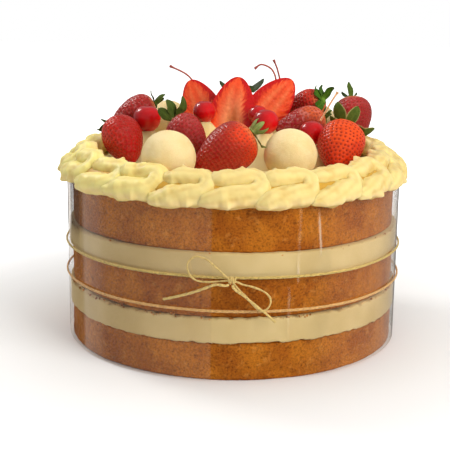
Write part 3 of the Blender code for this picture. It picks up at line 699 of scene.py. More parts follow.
class Piece:
    """One piece of the cake while it is being built, as closed shells that share a mesh."""

    def __init__(self, name: str) -> None:
        """Starts a piece with no shells."""
        self.name = name
        self.shells: list[Shell] = []

    def rings(
        self,
        grid: Array,
        tint: Array | Colour,
        weave: Array | float = 0.0,
        ends: tuple[Place | Array | None, Place | Array | None] = (None, None),
        finish: int = 0,
    ) -> None:
        """Adds a closed skin over rings of points.

        Neighbouring rings join in four-sided faces, and each end closes with a fan to a
        pole, which is the middle of the last ring where no other place is given.

        Args:
            grid: Rings of points.
            tint: A colour for each point, or one for all.
            weave: Where each point is on a cord: along it, and the section's two axes.
            ends: The two poles.
            finish: Which of the piece's finishes the shell takes.
        """
        rings, sides = grid.shape[:2]
        side = np.arange(sides)
        following = (side + 1) % sides
        pole, last = rings * sides, (rings - 1) * sides
        start = np.stack([following, side, np.full(sides, pole)], 1)
        close = np.stack([last + side, last + following, np.full(sides, pole + 1)], 1)
        middles = [
            grid[row].mean(0) if end is None else np.asarray(end, float)
            for row, end in zip((0, -1), ends)
        ]
        spread = [np.broadcast_to(np.asarray(given, float), grid.shape) for given in (tint, weave)]
        tints, weaves = (
            np.vstack([values.reshape(-1, 3), values[0].mean(0), values[-1].mean(0)]) for values in spread
        )
        points = np.vstack([grid.reshape(-1, 3), *middles])
        fans = np.concatenate([start, close])
        faces = joined(rings, sides, False)
        self.shells.append(Shell(points, faces, fans, tints, weaves, finish).turned_out())

    def hoop(self, grid: Array, tint: Array | Colour, weave: Array | float = 0.0) -> None:
        """Adds a ring-shaped skin: the last ring of points joins the first.

        Args:
            grid: Rings of points, the section's, one for each step round.
            tint: A colour for each point, or one for all.
            weave: Where each point is on a cord.
        """
        spread = [np.broadcast_to(np.asarray(given, float), grid.shape) for given in (tint, weave)]
        tints, weaves = (values.reshape(-1, 3) for values in spread)
        no_fans = np.zeros((0, 3), int)
        faces = joined(*grid.shape[:2], True)
        self.shells.append(Shell(grid.reshape(-1, 3), faces, no_fans, tints, weaves).turned_out())

    def copies(
        self, middles: Array, axes: Array, tint: Array | Colour, finish: int = 0, lumps: float = 0.0
    ) -> None:
        """Adds a small six-sided grain at each of many places.

        A grain is a ball of three rings and two poles, stretched along the place's axes.

        Args:
            middles: The places.
            axes: Three half axes for each place, one a row.
            tint: A colour for each place, or one for all.
            finish: Which of the piece's finishes the grains take.
            lumps: How uneven the grains are, as a share of their size.
        """
        polar = np.array([0.25, 0.5, 0.75])[:, None] * math.pi
        template = Piece("grain")
        template.rings(ball_ways(polar, round_angles(6)), WHITE, ends=((0, 0, 1), (0, 0, -1)))
        grain = template.shells[0]
        count, size = len(middles), len(grain.points)
        draw = np.random.default_rng(count)
        uneven = 1 + lumps * draw.uniform(-1, 1, (count, size, 1))
        points = middles[:, None] + np.einsum("pk,nkj->npj", grain.points, axes) * uneven
        shift = (np.arange(count) * size)[:, None, None]
        tints = np.broadcast_to(np.asarray(tint, float), (count, 3))
        way = 1 if np.sign(np.linalg.det(axes)).mean() > 0 else -1
        quads = (grain.quads[None] + shift).reshape(-1, 4)[:, ::way]
        triangles = (grain.triangles[None] + shift).reshape(-1, 3)[:, ::way]
        tints, weaves = np.repeat(tints, size, axis=0), np.zeros((count * size, 3))
        self.shells.append(Shell(points.reshape(-1, 3), quads, triangles, tints, weaves, finish))

    def build(
        self,
        finishes: Sequence[Material],
        slot: Slot,
        nodes: Sequence[str],
        crease: float = 70.0,
    ) -> bpy.types.Object:
        """Makes the mesh, lets it ride on the cake and stand for its nodes.

        Args:
            finishes: The materials, in the order that the shells count them.
            slot: The material slot; not used.
            nodes: The nodes that it stands for.
            crease: The least angle between faces that shows as an edge, in degrees.

        Returns:
            The object.
        """
        mesh = bpy.data.meshes.new(self.name)
        starts = np.cumsum([0] + [len(shell.points) for shell in self.shells])
        shells = list(zip(self.shells, starts))
        points = np.concatenate([shell.points for shell in self.shells])
        quads = np.concatenate([shell.quads + start for shell, start in shells])
        triangles = np.concatenate([shell.triangles + start for shell, start in shells])
        which = [np.full(len(shell.quads), shell.finish) for shell in self.shells]
        which += [np.full(len(shell.triangles), shell.finish) for shell in self.shells]
        corners = np.concatenate([quads.ravel(), triangles.ravel()])
        first = np.concatenate([np.arange(len(quads)) * 4, quads.size + np.arange(len(triangles)) * 3])
        mesh.vertices.add(len(points))
        mesh.vertices.foreach_set("co", points.astype(np.float32).ravel())
        mesh.loops.add(len(corners))
        mesh.loops.foreach_set("vertex_index", corners.astype(np.int32))
        mesh.polygons.add(len(first))
        mesh.polygons.foreach_set("loop_start", first.astype(np.int32))
        mesh.polygons.foreach_set("material_index", np.concatenate(which).astype(np.int32))
        mesh.update(calc_edges=True)
        tint = np.concatenate([shell.tint for shell in self.shells])
        tint = np.concatenate([tint, np.ones((len(tint), 1))], 1)
        carried_tint = mesh.color_attributes.new("tint", "FLOAT_COLOR", "POINT")
        carried_tint.data.foreach_set("color", tint.astype(np.float32).ravel())
        weave = np.concatenate([shell.weave for shell in self.shells])
        if weave.any():
            carried_weave = mesh.attributes.new("weave", "FLOAT_VECTOR", "POINT")
            carried_weave.data.foreach_set("vector", weave.astype(np.float32).ravel())
        mesh.shade_smooth()
        mesh.set_sharp_from_angle(angle=math.radians(crease))
        for finish in finishes:
            mesh.materials.append(finish)
        made = bpy.data.objects.new(self.name, mesh)
        bpy.context.scene.collection.objects.link(made)
        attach(made, BODY)
        if nodes:
            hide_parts(*nodes)
        LOG.info("%s: %d points, %d faces", self.name, len(points), len(first))
        return made


@dataclass
class Studio:
    """The camera, the lamps, the surroundings and the floor.

    A lamp is its name, its place, its side, its power in watts, and whether it shows in
    reflections. A band is a compass direction in degrees and a brightness.
    """

    distance: float = 0.63244
    height: float = 0.2100
    pitch: float = 0.22720
    roll: float = 0.0122
    yaw: float = -0.00748
    view_angle: float = 24.158
    nearest: float = 0.01
    floor_size: float = 6.0
    room: float = 0.36
    aim: Place = (0.0, 0.0, 0.07)
    lamp_colour: Colour = (1.0, 0.98, 0.95)
    lamps: tuple[tuple[str, Place, float, float, bool], ...] = (
        ("window", (-0.55, 0.36, 0.66), 0.24, 2.6, True),
        ("front_light", (0.62, -0.66, 0.60), 0.60, 8.0, False),
        ("top_light", (0.05, -0.05, 0.95), 0.60, 2.6, False),
    )
    band_colour: Colour = (1.0, 0.93, 0.86)
    bands: tuple[tuple[float, float], ...] = (
        (-180, 0.2), (-162, 0.2), (-157, 1.3), (-152, 1.2), (-147, 0.06), (-126, 0.08), (-121, 0.75),
        (-104, 0.65), (-96, 0.32), (-60, 0.26), (-13.6, 0.26), (-13.4, 0.0), (30, 0.0), (44, 0.12),
        (80, 0.24), (120, 0.36), (140, 0.42), (152, 0.50), (160, 0.25), (180, 0.2),
    )

    def camera(self) -> None:
        """A camera in front of the cake, a little above it, looking slightly down."""
        sin_yaw, cos_yaw = math.sin(self.yaw), math.cos(self.yaw)
        sin_pitch, cos_pitch = math.sin(self.pitch), math.cos(self.pitch)
        sin_roll, cos_roll = math.sin(self.roll), math.cos(self.roll)
        right = Vector((cos_yaw, -sin_yaw, 0))
        forward = Vector((sin_yaw * cos_pitch, cos_yaw * cos_pitch, -sin_pitch))
        up = Vector((sin_yaw * sin_pitch, cos_yaw * sin_pitch, cos_pitch))
        axes = (cos_roll * right + sin_roll * up, -sin_roll * right + cos_roll * up, -forward)
        turn = Matrix(axes).transposed().to_4x4()
        eye = bpy.data.objects.new("eye", bpy.data.cameras.new("eye"))
        eye.data.angle = math.radians(self.view_angle)
        eye.data.clip_start = self.nearest
        bpy.context.scene.collection.objects.link(eye)
        eye.matrix_world = Matrix.Translation((0, -self.distance, self.height)) @ turn
        bpy.context.scene.camera = eye

    def lamp(self, name: str, place: Place, size: float, power: float, mirrored: bool) -> None:
        """A square soft light that faces the cake.

        Args:
            name: The lamp's name.
            place: Where it stands.
            size: Its side.
            power: Its power, in watts.
            mirrored: Whether it shows in reflections.
        """
        made = bpy.data.objects.new(name, bpy.data.lights.new(name, "AREA"))
        made.data.energy = power
        made.data.size = size
        made.data.color = self.lamp_colour
        made.location = place
        made.rotation_euler = (Vector(self.aim) - Vector(place)).to_track_quat("-Z", "Y").to_euler()
        made.visible_glossy = mirrored
        bpy.context.scene.collection.objects.link(made)

    def surroundings(self) -> None:
        """An even pale room, with the bright and dark bands that the film mirrors.

        The bands are seen only in reflections from below the horizon, where a table and
        its surroundings would be.
        """
        world = bpy.data.worlds.new("room")
        world.use_nodes = True
        sky = Nodes(world.node_tree)
        where = sky.node("ShaderNodeTexCoord").outputs["Generated"]
        axes = sky.node("ShaderNodeSeparateXYZ", {0: where}).outputs
        compass = sky.sum_of("ARCTAN2", axes[0], sky.sum_of("MULTIPLY", axes[1], -1.0))
        limits = {"Value": compass, "From Min": -math.pi, "From Max": math.pi}
        turned = sky.node("ShaderNodeMapRange", limits).outputs[0]
        stops = [
            ((degrees + 180) / 360, tuple(strength * channel for channel in self.band_colour))
            for degrees, strength in self.bands
        ]
        path = sky.node("ShaderNodeLightPath").outputs
        mirrored = sky.sum_of("MULTIPLY", path["Is Glossy Ray"], sky.sum_of("LESS_THAN", axes[2], 0.0))
        seen = sky.mix(path["Is Camera Ray"], (self.room,) * 3, WHITE)
        both = sky.mix(mirrored, seen, sky.ramp(turned, stops))
        sky.feed(sky.tree.nodes["Background"].inputs["Color"], both)
        bpy.context.scene.world = world

    def floor(self) -> None:
        """A wide, plain, pale floor under the cake."""
        half = self.floor_size / 2
        mesh = bpy.data.meshes.new("floor")
        corners = [(-half, -half, 0.0), (half, -half, 0.0), (half, half, 0.0), (-half, half, 0.0)]
        mesh.from_pydata(corners, [], [(0, 1, 2, 3)])
        mesh.materials.append(FloorFinish().material())
        made = bpy.data.objects.new("floor", mesh)
        made.visible_glossy = False
        bpy.context.scene.collection.objects.link(made)

    def build(self) -> None:
        """Everything round the cake."""
        self.camera()
        self.surroundings()
        self.floor()
        for lamp in self.lamps:
            self.lamp(*lamp)
        bpy.context.scene.view_settings.view_transform = "Standard"


@dataclass
class Bow:
    """The bow's four strands and its knot, on the upper turn of twine.

    A strand's points are a distance round the cake, a height and a distance from its axis.
    A turn of the knot is its lean in degrees, its shift and its size, as shares.
    """

    knot_middle: Place = (0.0, -0.1042, 0.0582)
    knot_half: Place = (0.0025, 0.0014, 0.0023)
    knot_strand: float = 0.00055
    knot_steps: int = 28
    knot_sides: int = 10
    knot_turns: tuple[tuple[float, float, float], ...] = (
        (-14.0, -0.8, 0.8), (8.0, -0.28, 1.0), (-6.0, 0.28, 1.0), (16.0, 0.8, 0.78),
    )
    groove: float = 0.13
    tuck: float = 0.0012
    fine: int = 90
    sides: int = 14
    loop_diameter: float = 0.0010
    tail_diameters: tuple[float, float] = (0.0014, 0.0013)
    loop_left: tuple[Place, ...] = (
        (-0.0028, 0.0598, 0.1041), (-0.0079, 0.0646, 0.1041), (-0.0129, 0.0687, 0.1040),
        (-0.0170, 0.0702, 0.1038), (-0.0197, 0.0700, 0.1036), (-0.0226, 0.0679, 0.1036),
        (-0.0238, 0.0650, 0.1036), (-0.0231, 0.0614, 0.1036), (-0.0210, 0.0586, 0.1036),
        (-0.0179, 0.0571, 0.1036), (-0.0128, 0.0568, 0.1038), (-0.0078, 0.0574, 0.1041),
        (-0.0031, 0.0579, 0.1041),
    )
    loop_right: tuple[Place, ...] = (
        (0.0030, 0.0572, 0.1041), (0.0060, 0.0559, 0.1041), (0.0102, 0.0548, 0.1040),
        (0.0148, 0.0530, 0.1038), (0.0185, 0.0506, 0.1036), (0.0206, 0.0476, 0.1036),
        (0.0204, 0.0444, 0.1036), (0.0184, 0.0418, 0.1036), (0.0156, 0.0412, 0.1036),
        (0.0130, 0.0428, 0.1036), (0.0104, 0.0458, 0.1037), (0.0074, 0.0495, 0.1039),
        (0.0043, 0.0526, 0.1041), (0.0019, 0.0552, 0.1041),
    )
    tail_left: tuple[Place, ...] = (
        (-0.0028, 0.0558, 0.1062), (-0.0083, 0.0562, 0.1060), (-0.0118, 0.0549, 0.1058),
        (-0.0169, 0.0525, 0.1050), (-0.0220, 0.0503, 0.1042), (-0.0283, 0.0479, 0.1034),
        (-0.0337, 0.0460, 0.1028), (-0.0373, 0.0449, 0.1025),
    )
    tail_right: tuple[Place, ...] = (
        (0.0008, 0.0549, 0.1060), (0.0026, 0.0530, 0.1060), (0.0063, 0.0502, 0.1058),
        (0.0104, 0.0468, 0.1057), (0.0151, 0.0428, 0.1056), (0.0182, 0.0403, 0.1055),
        (0.0235, 0.0350, 0.1050),
    )

    def route(self, points: tuple[Place, ...], far_end: StrandEnd) -> Array:
        """A strand's line.

        An end at the knot goes on a little way towards the knot's middle, under its turns.

        Args:
            points: The strand's points.
            far_end: Where it ends.

        Returns:
            Places along it.
        """
        laid = np.array(points)
        knot = np.array((0.0, self.knot_middle[2], -self.knot_middle[1]))
        laid = np.concatenate([[laid[0] + self.tuck * unit(knot - laid[0])], laid])
        if far_end is StrandEnd.LOOP:
            laid = np.concatenate([laid, [laid[-1] + self.tuck * unit(knot - laid[-1])]])
        run, level, radius = laid.T
        return smooth_route(round_cake(run / radius, radius, level), self.fine)

    def skin(self, path: Array, diameter: float, turns: float, flat: float) -> tuple[Array, Array]:
        """A strand's skin: an oval with two plies, which turns as it goes.

        The half width is the strand's radius, with a groove twice round; the half
        thickness is the same times flat.

        Args:
            path: The middle line.
            diameter: The strand's width.
            turns: How often the plies go round on the way.
            flat: Thickness as a share of the width.

        Returns:
            The rings of points, and where each is on the cord.
        """
        outward = unit(path * FLAT)
        angle = round_angles(self.sides)
        along = np.linspace(0, 1, len(path))[:, None]
        ply = 1 + self.groove * np.cos(2 * angle + turns * FULL_TURN * along)
        taper = rise(-0.01, 0.01, along) * rise(1.01, 0.99, along)
        half = diameter / 2 * ply * (0.75 + 0.25 * taper)
        grid = tube(path, outward, half, half * flat, np.broadcast_to(angle, ply.shape))
        return grid, on_cord(along * route_length(path) / FIBRE, angle)

    def strands(self, finish: Material) -> None:
        """The two loops and the two tails, each a free strand of its real length.

        Args:
            finish: The bow's material.
        """
        loop, (left, right) = self.loop_diameter, self.tail_diameters
        parts = (
            ("bow_loop_left", self.loop_left, StrandEnd.LOOP, loop, 5.0, 0.8),
            ("bow_loop_right", self.loop_right, StrandEnd.LOOP, loop, 5.0, 0.8),
            ("bow_tail_left", self.tail_left, StrandEnd.TAIL, left, 9.0, 0.9),
            ("bow_tail_right", self.tail_right, StrandEnd.TAIL, right, 2.0, 0.7),
        )
        for name, points, far_end, diameter, turns, flat in parts:
            path = self.route(points, far_end)
            grid, weave = self.skin(path, diameter, turns, flat)
            piece = Piece(f"{name}_twine")
            piece.rings(grid, WHITE, weave)
            made = piece.build([finish], Slot.TWINE, [name])

    def knot(self, finish: Material) -> None:
        """The knot: four tight turns of the strand, side by side and each leaning its way.

        A turn is an oval loop across the twine; its skin is a small circle carried round.

        Args:
            finish: The bow's material.
        """
        piece = Piece("bow_knot_twine")
        step, angle = round_angles(self.knot_steps), round_angles(self.knot_sides)
        half_x, half_y, half_z = (half - self.knot_strand for half in self.knot_half)
        out = np.array([0.0, -1.0, 0.0])
        for tilt, shift, reach in self.knot_turns:
            lean = math.radians(tilt)
            along = np.array([math.sin(lean), 0.0, math.cos(lean)])
            ring = (np.cos(step)[:, None] * along * half_z + np.sin(step)[:, None] * out * half_y) * reach
            path = np.array(self.knot_middle) + np.array([shift * half_x, 0.0, 0.0]) + ring
            skin = path[:, None] + self.knot_strand * np.cos(angle)[None, :, None] * unit(ring)[:, None]
            skin = skin + self.knot_strand * np.sin(angle)[None, :, None] * np.cross(along, out)
            piece.hoop(skin, WHITE, on_cord((step * 2)[:, None], angle))
        piece.build([finish], Slot.TWINE, ["bow_knot"])

    def build(self) -> None:
        """The strands and the knot."""
        finish = TwineFinish("bow_twine", light(226, 196, 120), light(150, 112, 52)).material()
        self.strands(finish)
        self.knot(finish)


@dataclass
class Collar:
    """The clear strip round the cake: its outer end at the front, its inner end under it.

    A crease is its compass direction in degrees, its lean, its two ends' heights and how
    far it stands out.
    """

    radius: float = 0.1000
    wall: float = 0.0003
    bottom: float = 0.0010
    top: float = 0.1000
    step: float = 0.0006
    slack: float = 0.0001
    outer_end: float = math.radians(-6.2)
    inner_end: float = math.radians(32.0)
    step_length: float = math.radians(9.0)
    steps: int = 1300
    rows: int = 16
    crease_width: float = math.radians(0.35)
    crease_fade: float = 0.004
    deepest: float = 0.00016
    nowhere: float = 9.0
    creases: tuple[tuple[float, float, float, float, float], ...] = (
        (28.0, -0.10, 0.072, 0.090, 0.00016),
        (20.4, 0.02, 0.062, 0.098, 0.00003),
        (20.4, 0.00, 0.060, 0.064, 0.00012),
        (17.5, 0.02, 0.030, 0.050, 0.00005),
        (66.0, 0.03, 0.040, 0.060, 0.00004),
    )

    def overlap(self, angle: Array) -> Array:
        """1 where the strip's ends overlap, falling to 0 just past the inner end."""
        turned = (angle - self.outer_end) % FULL_TURN
        left = self.inner_end - self.outer_end + self.step_length - turned
        return np.clip(left / self.step_length, 0, 1)

    def crease(self, angle: Array, level: Array) -> Array:
        """Fine upright creases, as ridges that fade towards their ends.

        Args:
            angle: Angles round the cake.
            level: Heights.

        Returns:
            How far the film stands out.
        """
        total = np.zeros(np.broadcast(angle, level).shape)
        for at, lean, low, high, height in self.creases:
            middle = math.radians(at) + lean * (level - low) / 0.02 * 0.2
            ridge = bell(angle - middle, self.crease_width)
            ends = (rise(low - self.crease_fade, low, level), rise(high + self.crease_fade, high, level))
            total = total + height * ridge * ends[0] * ends[1]
        return total

    def tints(self, run: Array, level: Array, crease: Array) -> Array:
        """What the film carries: how far it mirrors, how much pale haze it shows, and how far it
        dims what is behind.

        It mirrors little where its ends lie over each other. It shows a pale haze towards the
        sides, partly the film being fogged and partly a painted reflection, and bright lines
        along its creases, a painted highlight. It dims the left, most of all beside the top
        sponge, a painted shade. The side towards the cake carries nothing.

        Args:
            run: How far along the strip, as an angle from its outer end.
            level: Heights.
            crease: How far the creases stand out.

        Returns:
            The three amounts for each point.
        """
        turned = np.degrees((self.outer_end + run + math.pi) % FULL_TURN - math.pi)
        under = run > FULL_TURN
        quiet = rise(-6.3, -6.1, turned) * rise(34.0, 18.0, turned) * (run < math.pi)
        mirror = np.where(under, 0.04, 1.0 - 0.92 * quiet)
        # Pale haze towards the sides: partly the film being fogged, partly a painted reflection.
        fog_and_glare = 0.02 * rise(-5.9, -6.5, turned) + 0.03 * rise(20.0, 60.0, turned)
        fog_and_glare = fog_and_glare + 0.06 * rise(50.0, 85.0, np.abs(turned))
        fog_and_glare = np.where(under, 0.0, fog_and_glare * (1 - quiet))
        # Painted highlight: a bright line along each crease.
        crease_glint = 0.45 * crease / self.deepest
        fog_and_glare = np.clip(fog_and_glare + np.concatenate([0 * crease_glint, crease_glint[:, ::-1]], 1), 0, 1)
        upper = rise(0.064, 0.074, np.concatenate([level, level[:, ::-1]], 1))
        # Painted shade: the left dims what lies behind, most of all beside the top sponge.
        dim = 0.36 * rise(-60.0, -61.5, turned) * rise(-84.0, -76.0, turned) * (run > math.pi) * ~under
        dim = dim * (0.25 + 0.75 * upper)
        mirror = mirror * (1 - 0.85 * rise(-56.0, -62.0, turned) * (1 - upper))
        tint = np.stack(np.broadcast_arrays(mirror, fog_and_glare, dim), -1) * np.ones((1, 2 * self.rows, 1))
        tint[:, : self.rows] = 0.0
        return tint

    def build(self) -> None:
        """The strip: a thin wall carried round, with slow waves and its creases."""
        span = FULL_TURN + self.inner_end - self.outer_end
        run = np.linspace(0, span, self.steps)[:, None]
        angle = self.outer_end + run
        outer = run < math.pi
        lift = np.where(outer, self.step * self.overlap(angle), 0.0)
        level = np.linspace(self.bottom, self.top, self.rows)[None, :]
        wave = 0.00008 * np.cos(5 * angle + 1.3) * rise(0.0, 0.3, run) * rise(span, span - 0.3, run)
        crease = self.crease(np.where(outer, angle, self.nowhere), level)
        inner = self.radius + lift + wave + crease
        inside, outside = round_cake(angle, inner, level), round_cake(angle, inner + self.wall, level)
        piece = Piece("clear_collar")
        piece.rings(np.concatenate([inside, outside[:, ::-1]], 1), self.tints(run, level, crease))
        piece.build([FilmFinish().material()], Slot.COLLAR, ["collar"], 50.0)

    def twine_radius(self, angle: Array, thickness: float) -> Array:
        """The middle of a turn of twine, outside the strip and over its overlap.

        Args:
            angle: Angles round the cake.
            thickness: The twine's thickness.

        Returns:
            The distance from the cake's axis.
        """
        turned = (angle - self.outer_end + math.pi) % FULL_TURN - math.pi
        over = self.inner_end - self.outer_end + self.step_length
        up = np.clip((turned + self.step_length) / self.step_length, 0, 1)
        down = np.clip((over + self.step_length - turned) / self.step_length, 0, 1)
        return self.radius + self.wall + GAP + thickness / 2 + self.step * up * down + self.slack


@dataclass
class TwineTurn:
    """One turn of twine round the strip."""

    name: str
    level: float
    pale: Colour
    dark: Colour
    width: float = 0.0015
    thickness: float = 0.0011
    steps: int = 900
    sides: int = 12
    plies: int = 150
    groove: float = 0.10

    def build(self, collar: Collar) -> None:
        """The turn: an oval with two plies that wind round it, carried round the cake.

        Args:
            collar: The strip that it lies on.
        """
        angle, turn = round_angles(self.steps)[:, None], round_angles(self.sides)[None, :]
        ply = 1 + self.groove * np.cos(2 * turn + self.plies * angle)
        slack = 0.0003 * np.cos(2 * angle + 0.6) + 0.00015 * np.cos(5 * angle)
        out = collar.twine_radius(angle, self.thickness) + self.thickness / 2 * ply * np.cos(turn)
        up = self.level + slack + self.width / 2 * ply * np.sin(turn)
        piece = Piece(f"{self.name}_twine")
        weave = on_cord(angle * collar.radius / FIBRE, turn)
        piece.hoop(round_cake(angle + 0 * turn, out, up), WHITE, weave)
        straw = TwineFinish(f"{self.name}_straw", self.pale, self.dark)
        piece.build([straw.material()], Slot.TWINE, [self.name])


@dataclass
class Layer:
    """One sponge or cream layer."""

    name: str
    bottom: float
    top: float
    radius: float
    seed: int
    unevenness: float
    steps: int = 720
    lip: float = 0.006

    def wall(self, rows: int, bottom: Array, top: Array, round_edge: float) -> Array:
        """The layer's side, between two edges that may wander.

        A point's distance from the axis is the layer's radius plus a ripple, less a
        quarter-circle rounding near both edges.

        Args:
            rows: How many rings of points.
            bottom: The lower edge's height at each angle.
            top: The upper edge's height at each angle.
            round_edge: How far the edges are rounded.

        Returns:
            The rings of points, with a flat ring inside each edge.
        """
        angle = round_angles(self.steps)[None, :]
        share = np.linspace(0, 1, rows)[:, None]
        uneven = [ripple(angle, self.seed + number, self.unevenness) for number in (0, 1)]
        level = (1 - share) * bottom + share * top
        near = np.clip(1 - np.minimum(level - bottom, top - level) / round_edge, 0, 1)
        reach = self.radius + (1 - share) * uneven[0] + share * uneven[1]
        reach = reach - round_edge * (1 - np.sqrt(1 - near**2))
        rings = round_cake(angle + 0 * share, reach, level)
        below = round_cake(angle, reach[:1] - self.lip, bottom)
        above = round_cake(angle, reach[-1:] - self.lip, top)
        return np.concatenate([below, rings, above])


@dataclass
class SpongeLayer(Layer):
    """A baked layer: an open, uneven crumb with a browner skin in patches."""

    crumb: Colour = light(186, 110, 26)
    crust: Colour = light(158, 84, 16)
    bright: Colour = light(216, 148, 68)
    row: float = 0.0007
    round_edge: float = 0.0010
    lump_height: float = 0.00022
    pore_depth: float = 0.00040

    def build(self, finish: Material) -> None:
        """The layer, its side worked into crumb by three widths of relief and by pores.

        Args:
            finish: The sponge's material.
        """
        rows = round((self.top - self.bottom) / self.row)
        edge = np.array([[self.bottom], [self.top]])
        grid = self.wall(rows, edge[:1], edge[1:], self.round_edge)
        out = unit(grid * FLAT)
        lumps = relief(grid, 0.0030, 40 + self.seed, 3)
        pores = rise(0.50, 0.85, relief(grid, 0.0016, 60 + self.seed, 2))
        side = np.ones(grid.shape[:2])
        side[[0, -1]] = 0.0
        height = (self.lump_height * lumps - self.pore_depth * pores) * side
        grid = grid + height[..., None] * out
        patch = relief(grid, 0.014, 80 + self.seed, 3)
        streak = relief(grid * (1.0, 1.0, 0.35), 0.006, 90 + self.seed, 2)
        tint = blend(rise(-0.9, 0.9, patch + 0.35 * streak), self.crust, self.crumb)
        tint = blend(0.35 * rise(0.35, 1.1, lumps), tint, self.bright)
        # Painted shade: the crumb is darker in its pores.
        tint = tint * (1 - 0.22 * pores)[..., None]
        piece = Piece(f"{self.name}_crumb")
        piece.rings(grid, tint)
        piece.build([finish], Slot.SPONGE, [self.name])


@dataclass
class CreamLayer(Layer):
    """A cream layer that bulges past the sponge, with an edge that wanders."""

    ragged: tuple[float, float] = (0.0004, 0.0004)
    pale: Colour = light(218, 192, 136)
    deep: Colour = light(206, 178, 120)
    row: float = 0.0006
    round_edge: float = 0.0007
    smear_height: float = 0.00018

    def edge(self, level: float, number: int) -> Array:
        """An edge's height: slow waves, and small steps of the given raggedness.

        Args:
            level: The edge's own height.
            number: 0 for the lower edge and 1 for the upper.

        Returns:
            The height at each angle.
        """
        angle = round_angles(self.steps)[None, :]
        line = round_cake(angle, self.radius, level)
        step = relief(line, 0.0050, 20 + self.seed + number, 3)
        bite = rise(0.1, 0.5, relief(line, 0.0030, 30 + self.seed + number, 2))
        inwards = 0.9 if number else -0.9
        return level + self.ragged[number] * (step - inwards * bite) + 0.0003 * np.cos(3 * angle)

    def build(self, finish: Material) -> None:
        """The layer, its side smoothed by a spatula into faint upright waves.

        Args:
            finish: The cream's material.
        """
        rows = round((self.top - self.bottom) / self.row)
        grid = self.wall(rows, self.edge(self.bottom, 0), self.edge(self.top, 1), self.round_edge)
        out = unit(grid * FLAT)
        smear = relief(grid * (1.0, 1.0, 0.3), 0.012, 50 + self.seed, 3)
        grid = grid + (self.smear_height * smear)[..., None] * out
        patch = relief(grid, 0.02, 70 + self.seed, 2)
        piece = Piece(f"{self.name}_fill")
        piece.rings(grid, blend(rise(-0.8, 0.8, patch), self.deep, self.pale))
        piece.build([finish], Slot.CREAM, [self.name])


@dataclass
class Crumbs:
    """Loose crumbs along the edges of the cream layers."""

    radius: float = 0.0991
    edges: tuple[tuple[float, int], ...] = ((0.0352, 300), (0.0211, 200), (0.0573, 110), (0.0707, 60))
    size: tuple[float, float] = (0.0002, 0.0008)
    scatter: float = 0.0006
    seed: int = 5
    dark: Colour = light(140, 78, 24)
    bright: Colour = light(206, 140, 66)

    def build(self, finish: Material) -> None:
        """Grains of seeded size scattered round each edge, all in one piece.

        Args:
            finish: The sponge's material.
        """
        draw = np.random.default_rng(self.seed)
        piece = Piece("loose_crumbs")
        for level, count in self.edges:
            angle = draw.uniform(0, FULL_TURN, count)
            size = draw.uniform(0, 1, count) ** 2 * (self.size[1] - self.size[0]) + self.size[0]
            height = level + draw.normal(0, self.scatter, count)
            middles = round_cake(angle, self.radius - 0.4 * size, height)
            spin = np.linalg.qr(draw.normal(size=(count, 3, 3)))[0]
            axes = spin * (size[:, None] * draw.uniform(0.6, 1.3, (count, 3)))[..., None]
            axes = axes * np.sign(np.linalg.det(axes))[:, None, None]
            tint = blend(draw.uniform(0, 1, count), self.dark, self.bright)
            piece.copies(middles, axes, tint, lumps=0.12)
        piece.build([finish], Slot.SPONGE, [])


@dataclass(frozen=True)
class BerrySkin:
    """A strawberry's colours: deep and bright, the way its bright side looks, and its pits.
    The bright side is partly the berry's own colour and partly painted light, and the pits'
    colour is a painted shade.

    Two shares say how strongly the painted highlights show: on the pits' rims, and as a net
    between the pits.
    """

    deep: Colour = light(160, 10, 14)
    bright: Colour = light(206, 44, 26)
    side: Place = (0.3, -0.6, 0.7)
    reach: tuple[float, float] = (0.2, 0.95)
    # The pit colour is a painted shade; the ring and net colours are painted highlights.
    pit: Colour = light(116, 4, 8)
    seed: Colour = light(186, 74, 46)
    rings: float = 0.15
    glint_net: float = 0.0
    shoulder: Colour = light(226, 150, 84)
    ring: Colour = light(236, 120, 84)
    net: Colour = light(226, 176, 172)


@dataclass(frozen=True)
class LeafLook:
    """How the leaves of a calyx look: their width, their colours and how blunt they are."""

    width: float = 0.46
    dark: Colour = light(44, 62, 18)
    pale: Colour = light(104, 126, 48)
    edge: Colour = light(120, 132, 70)
    blunt: float = 0.6
    root: float = 0.15
    waist: float = 0.0


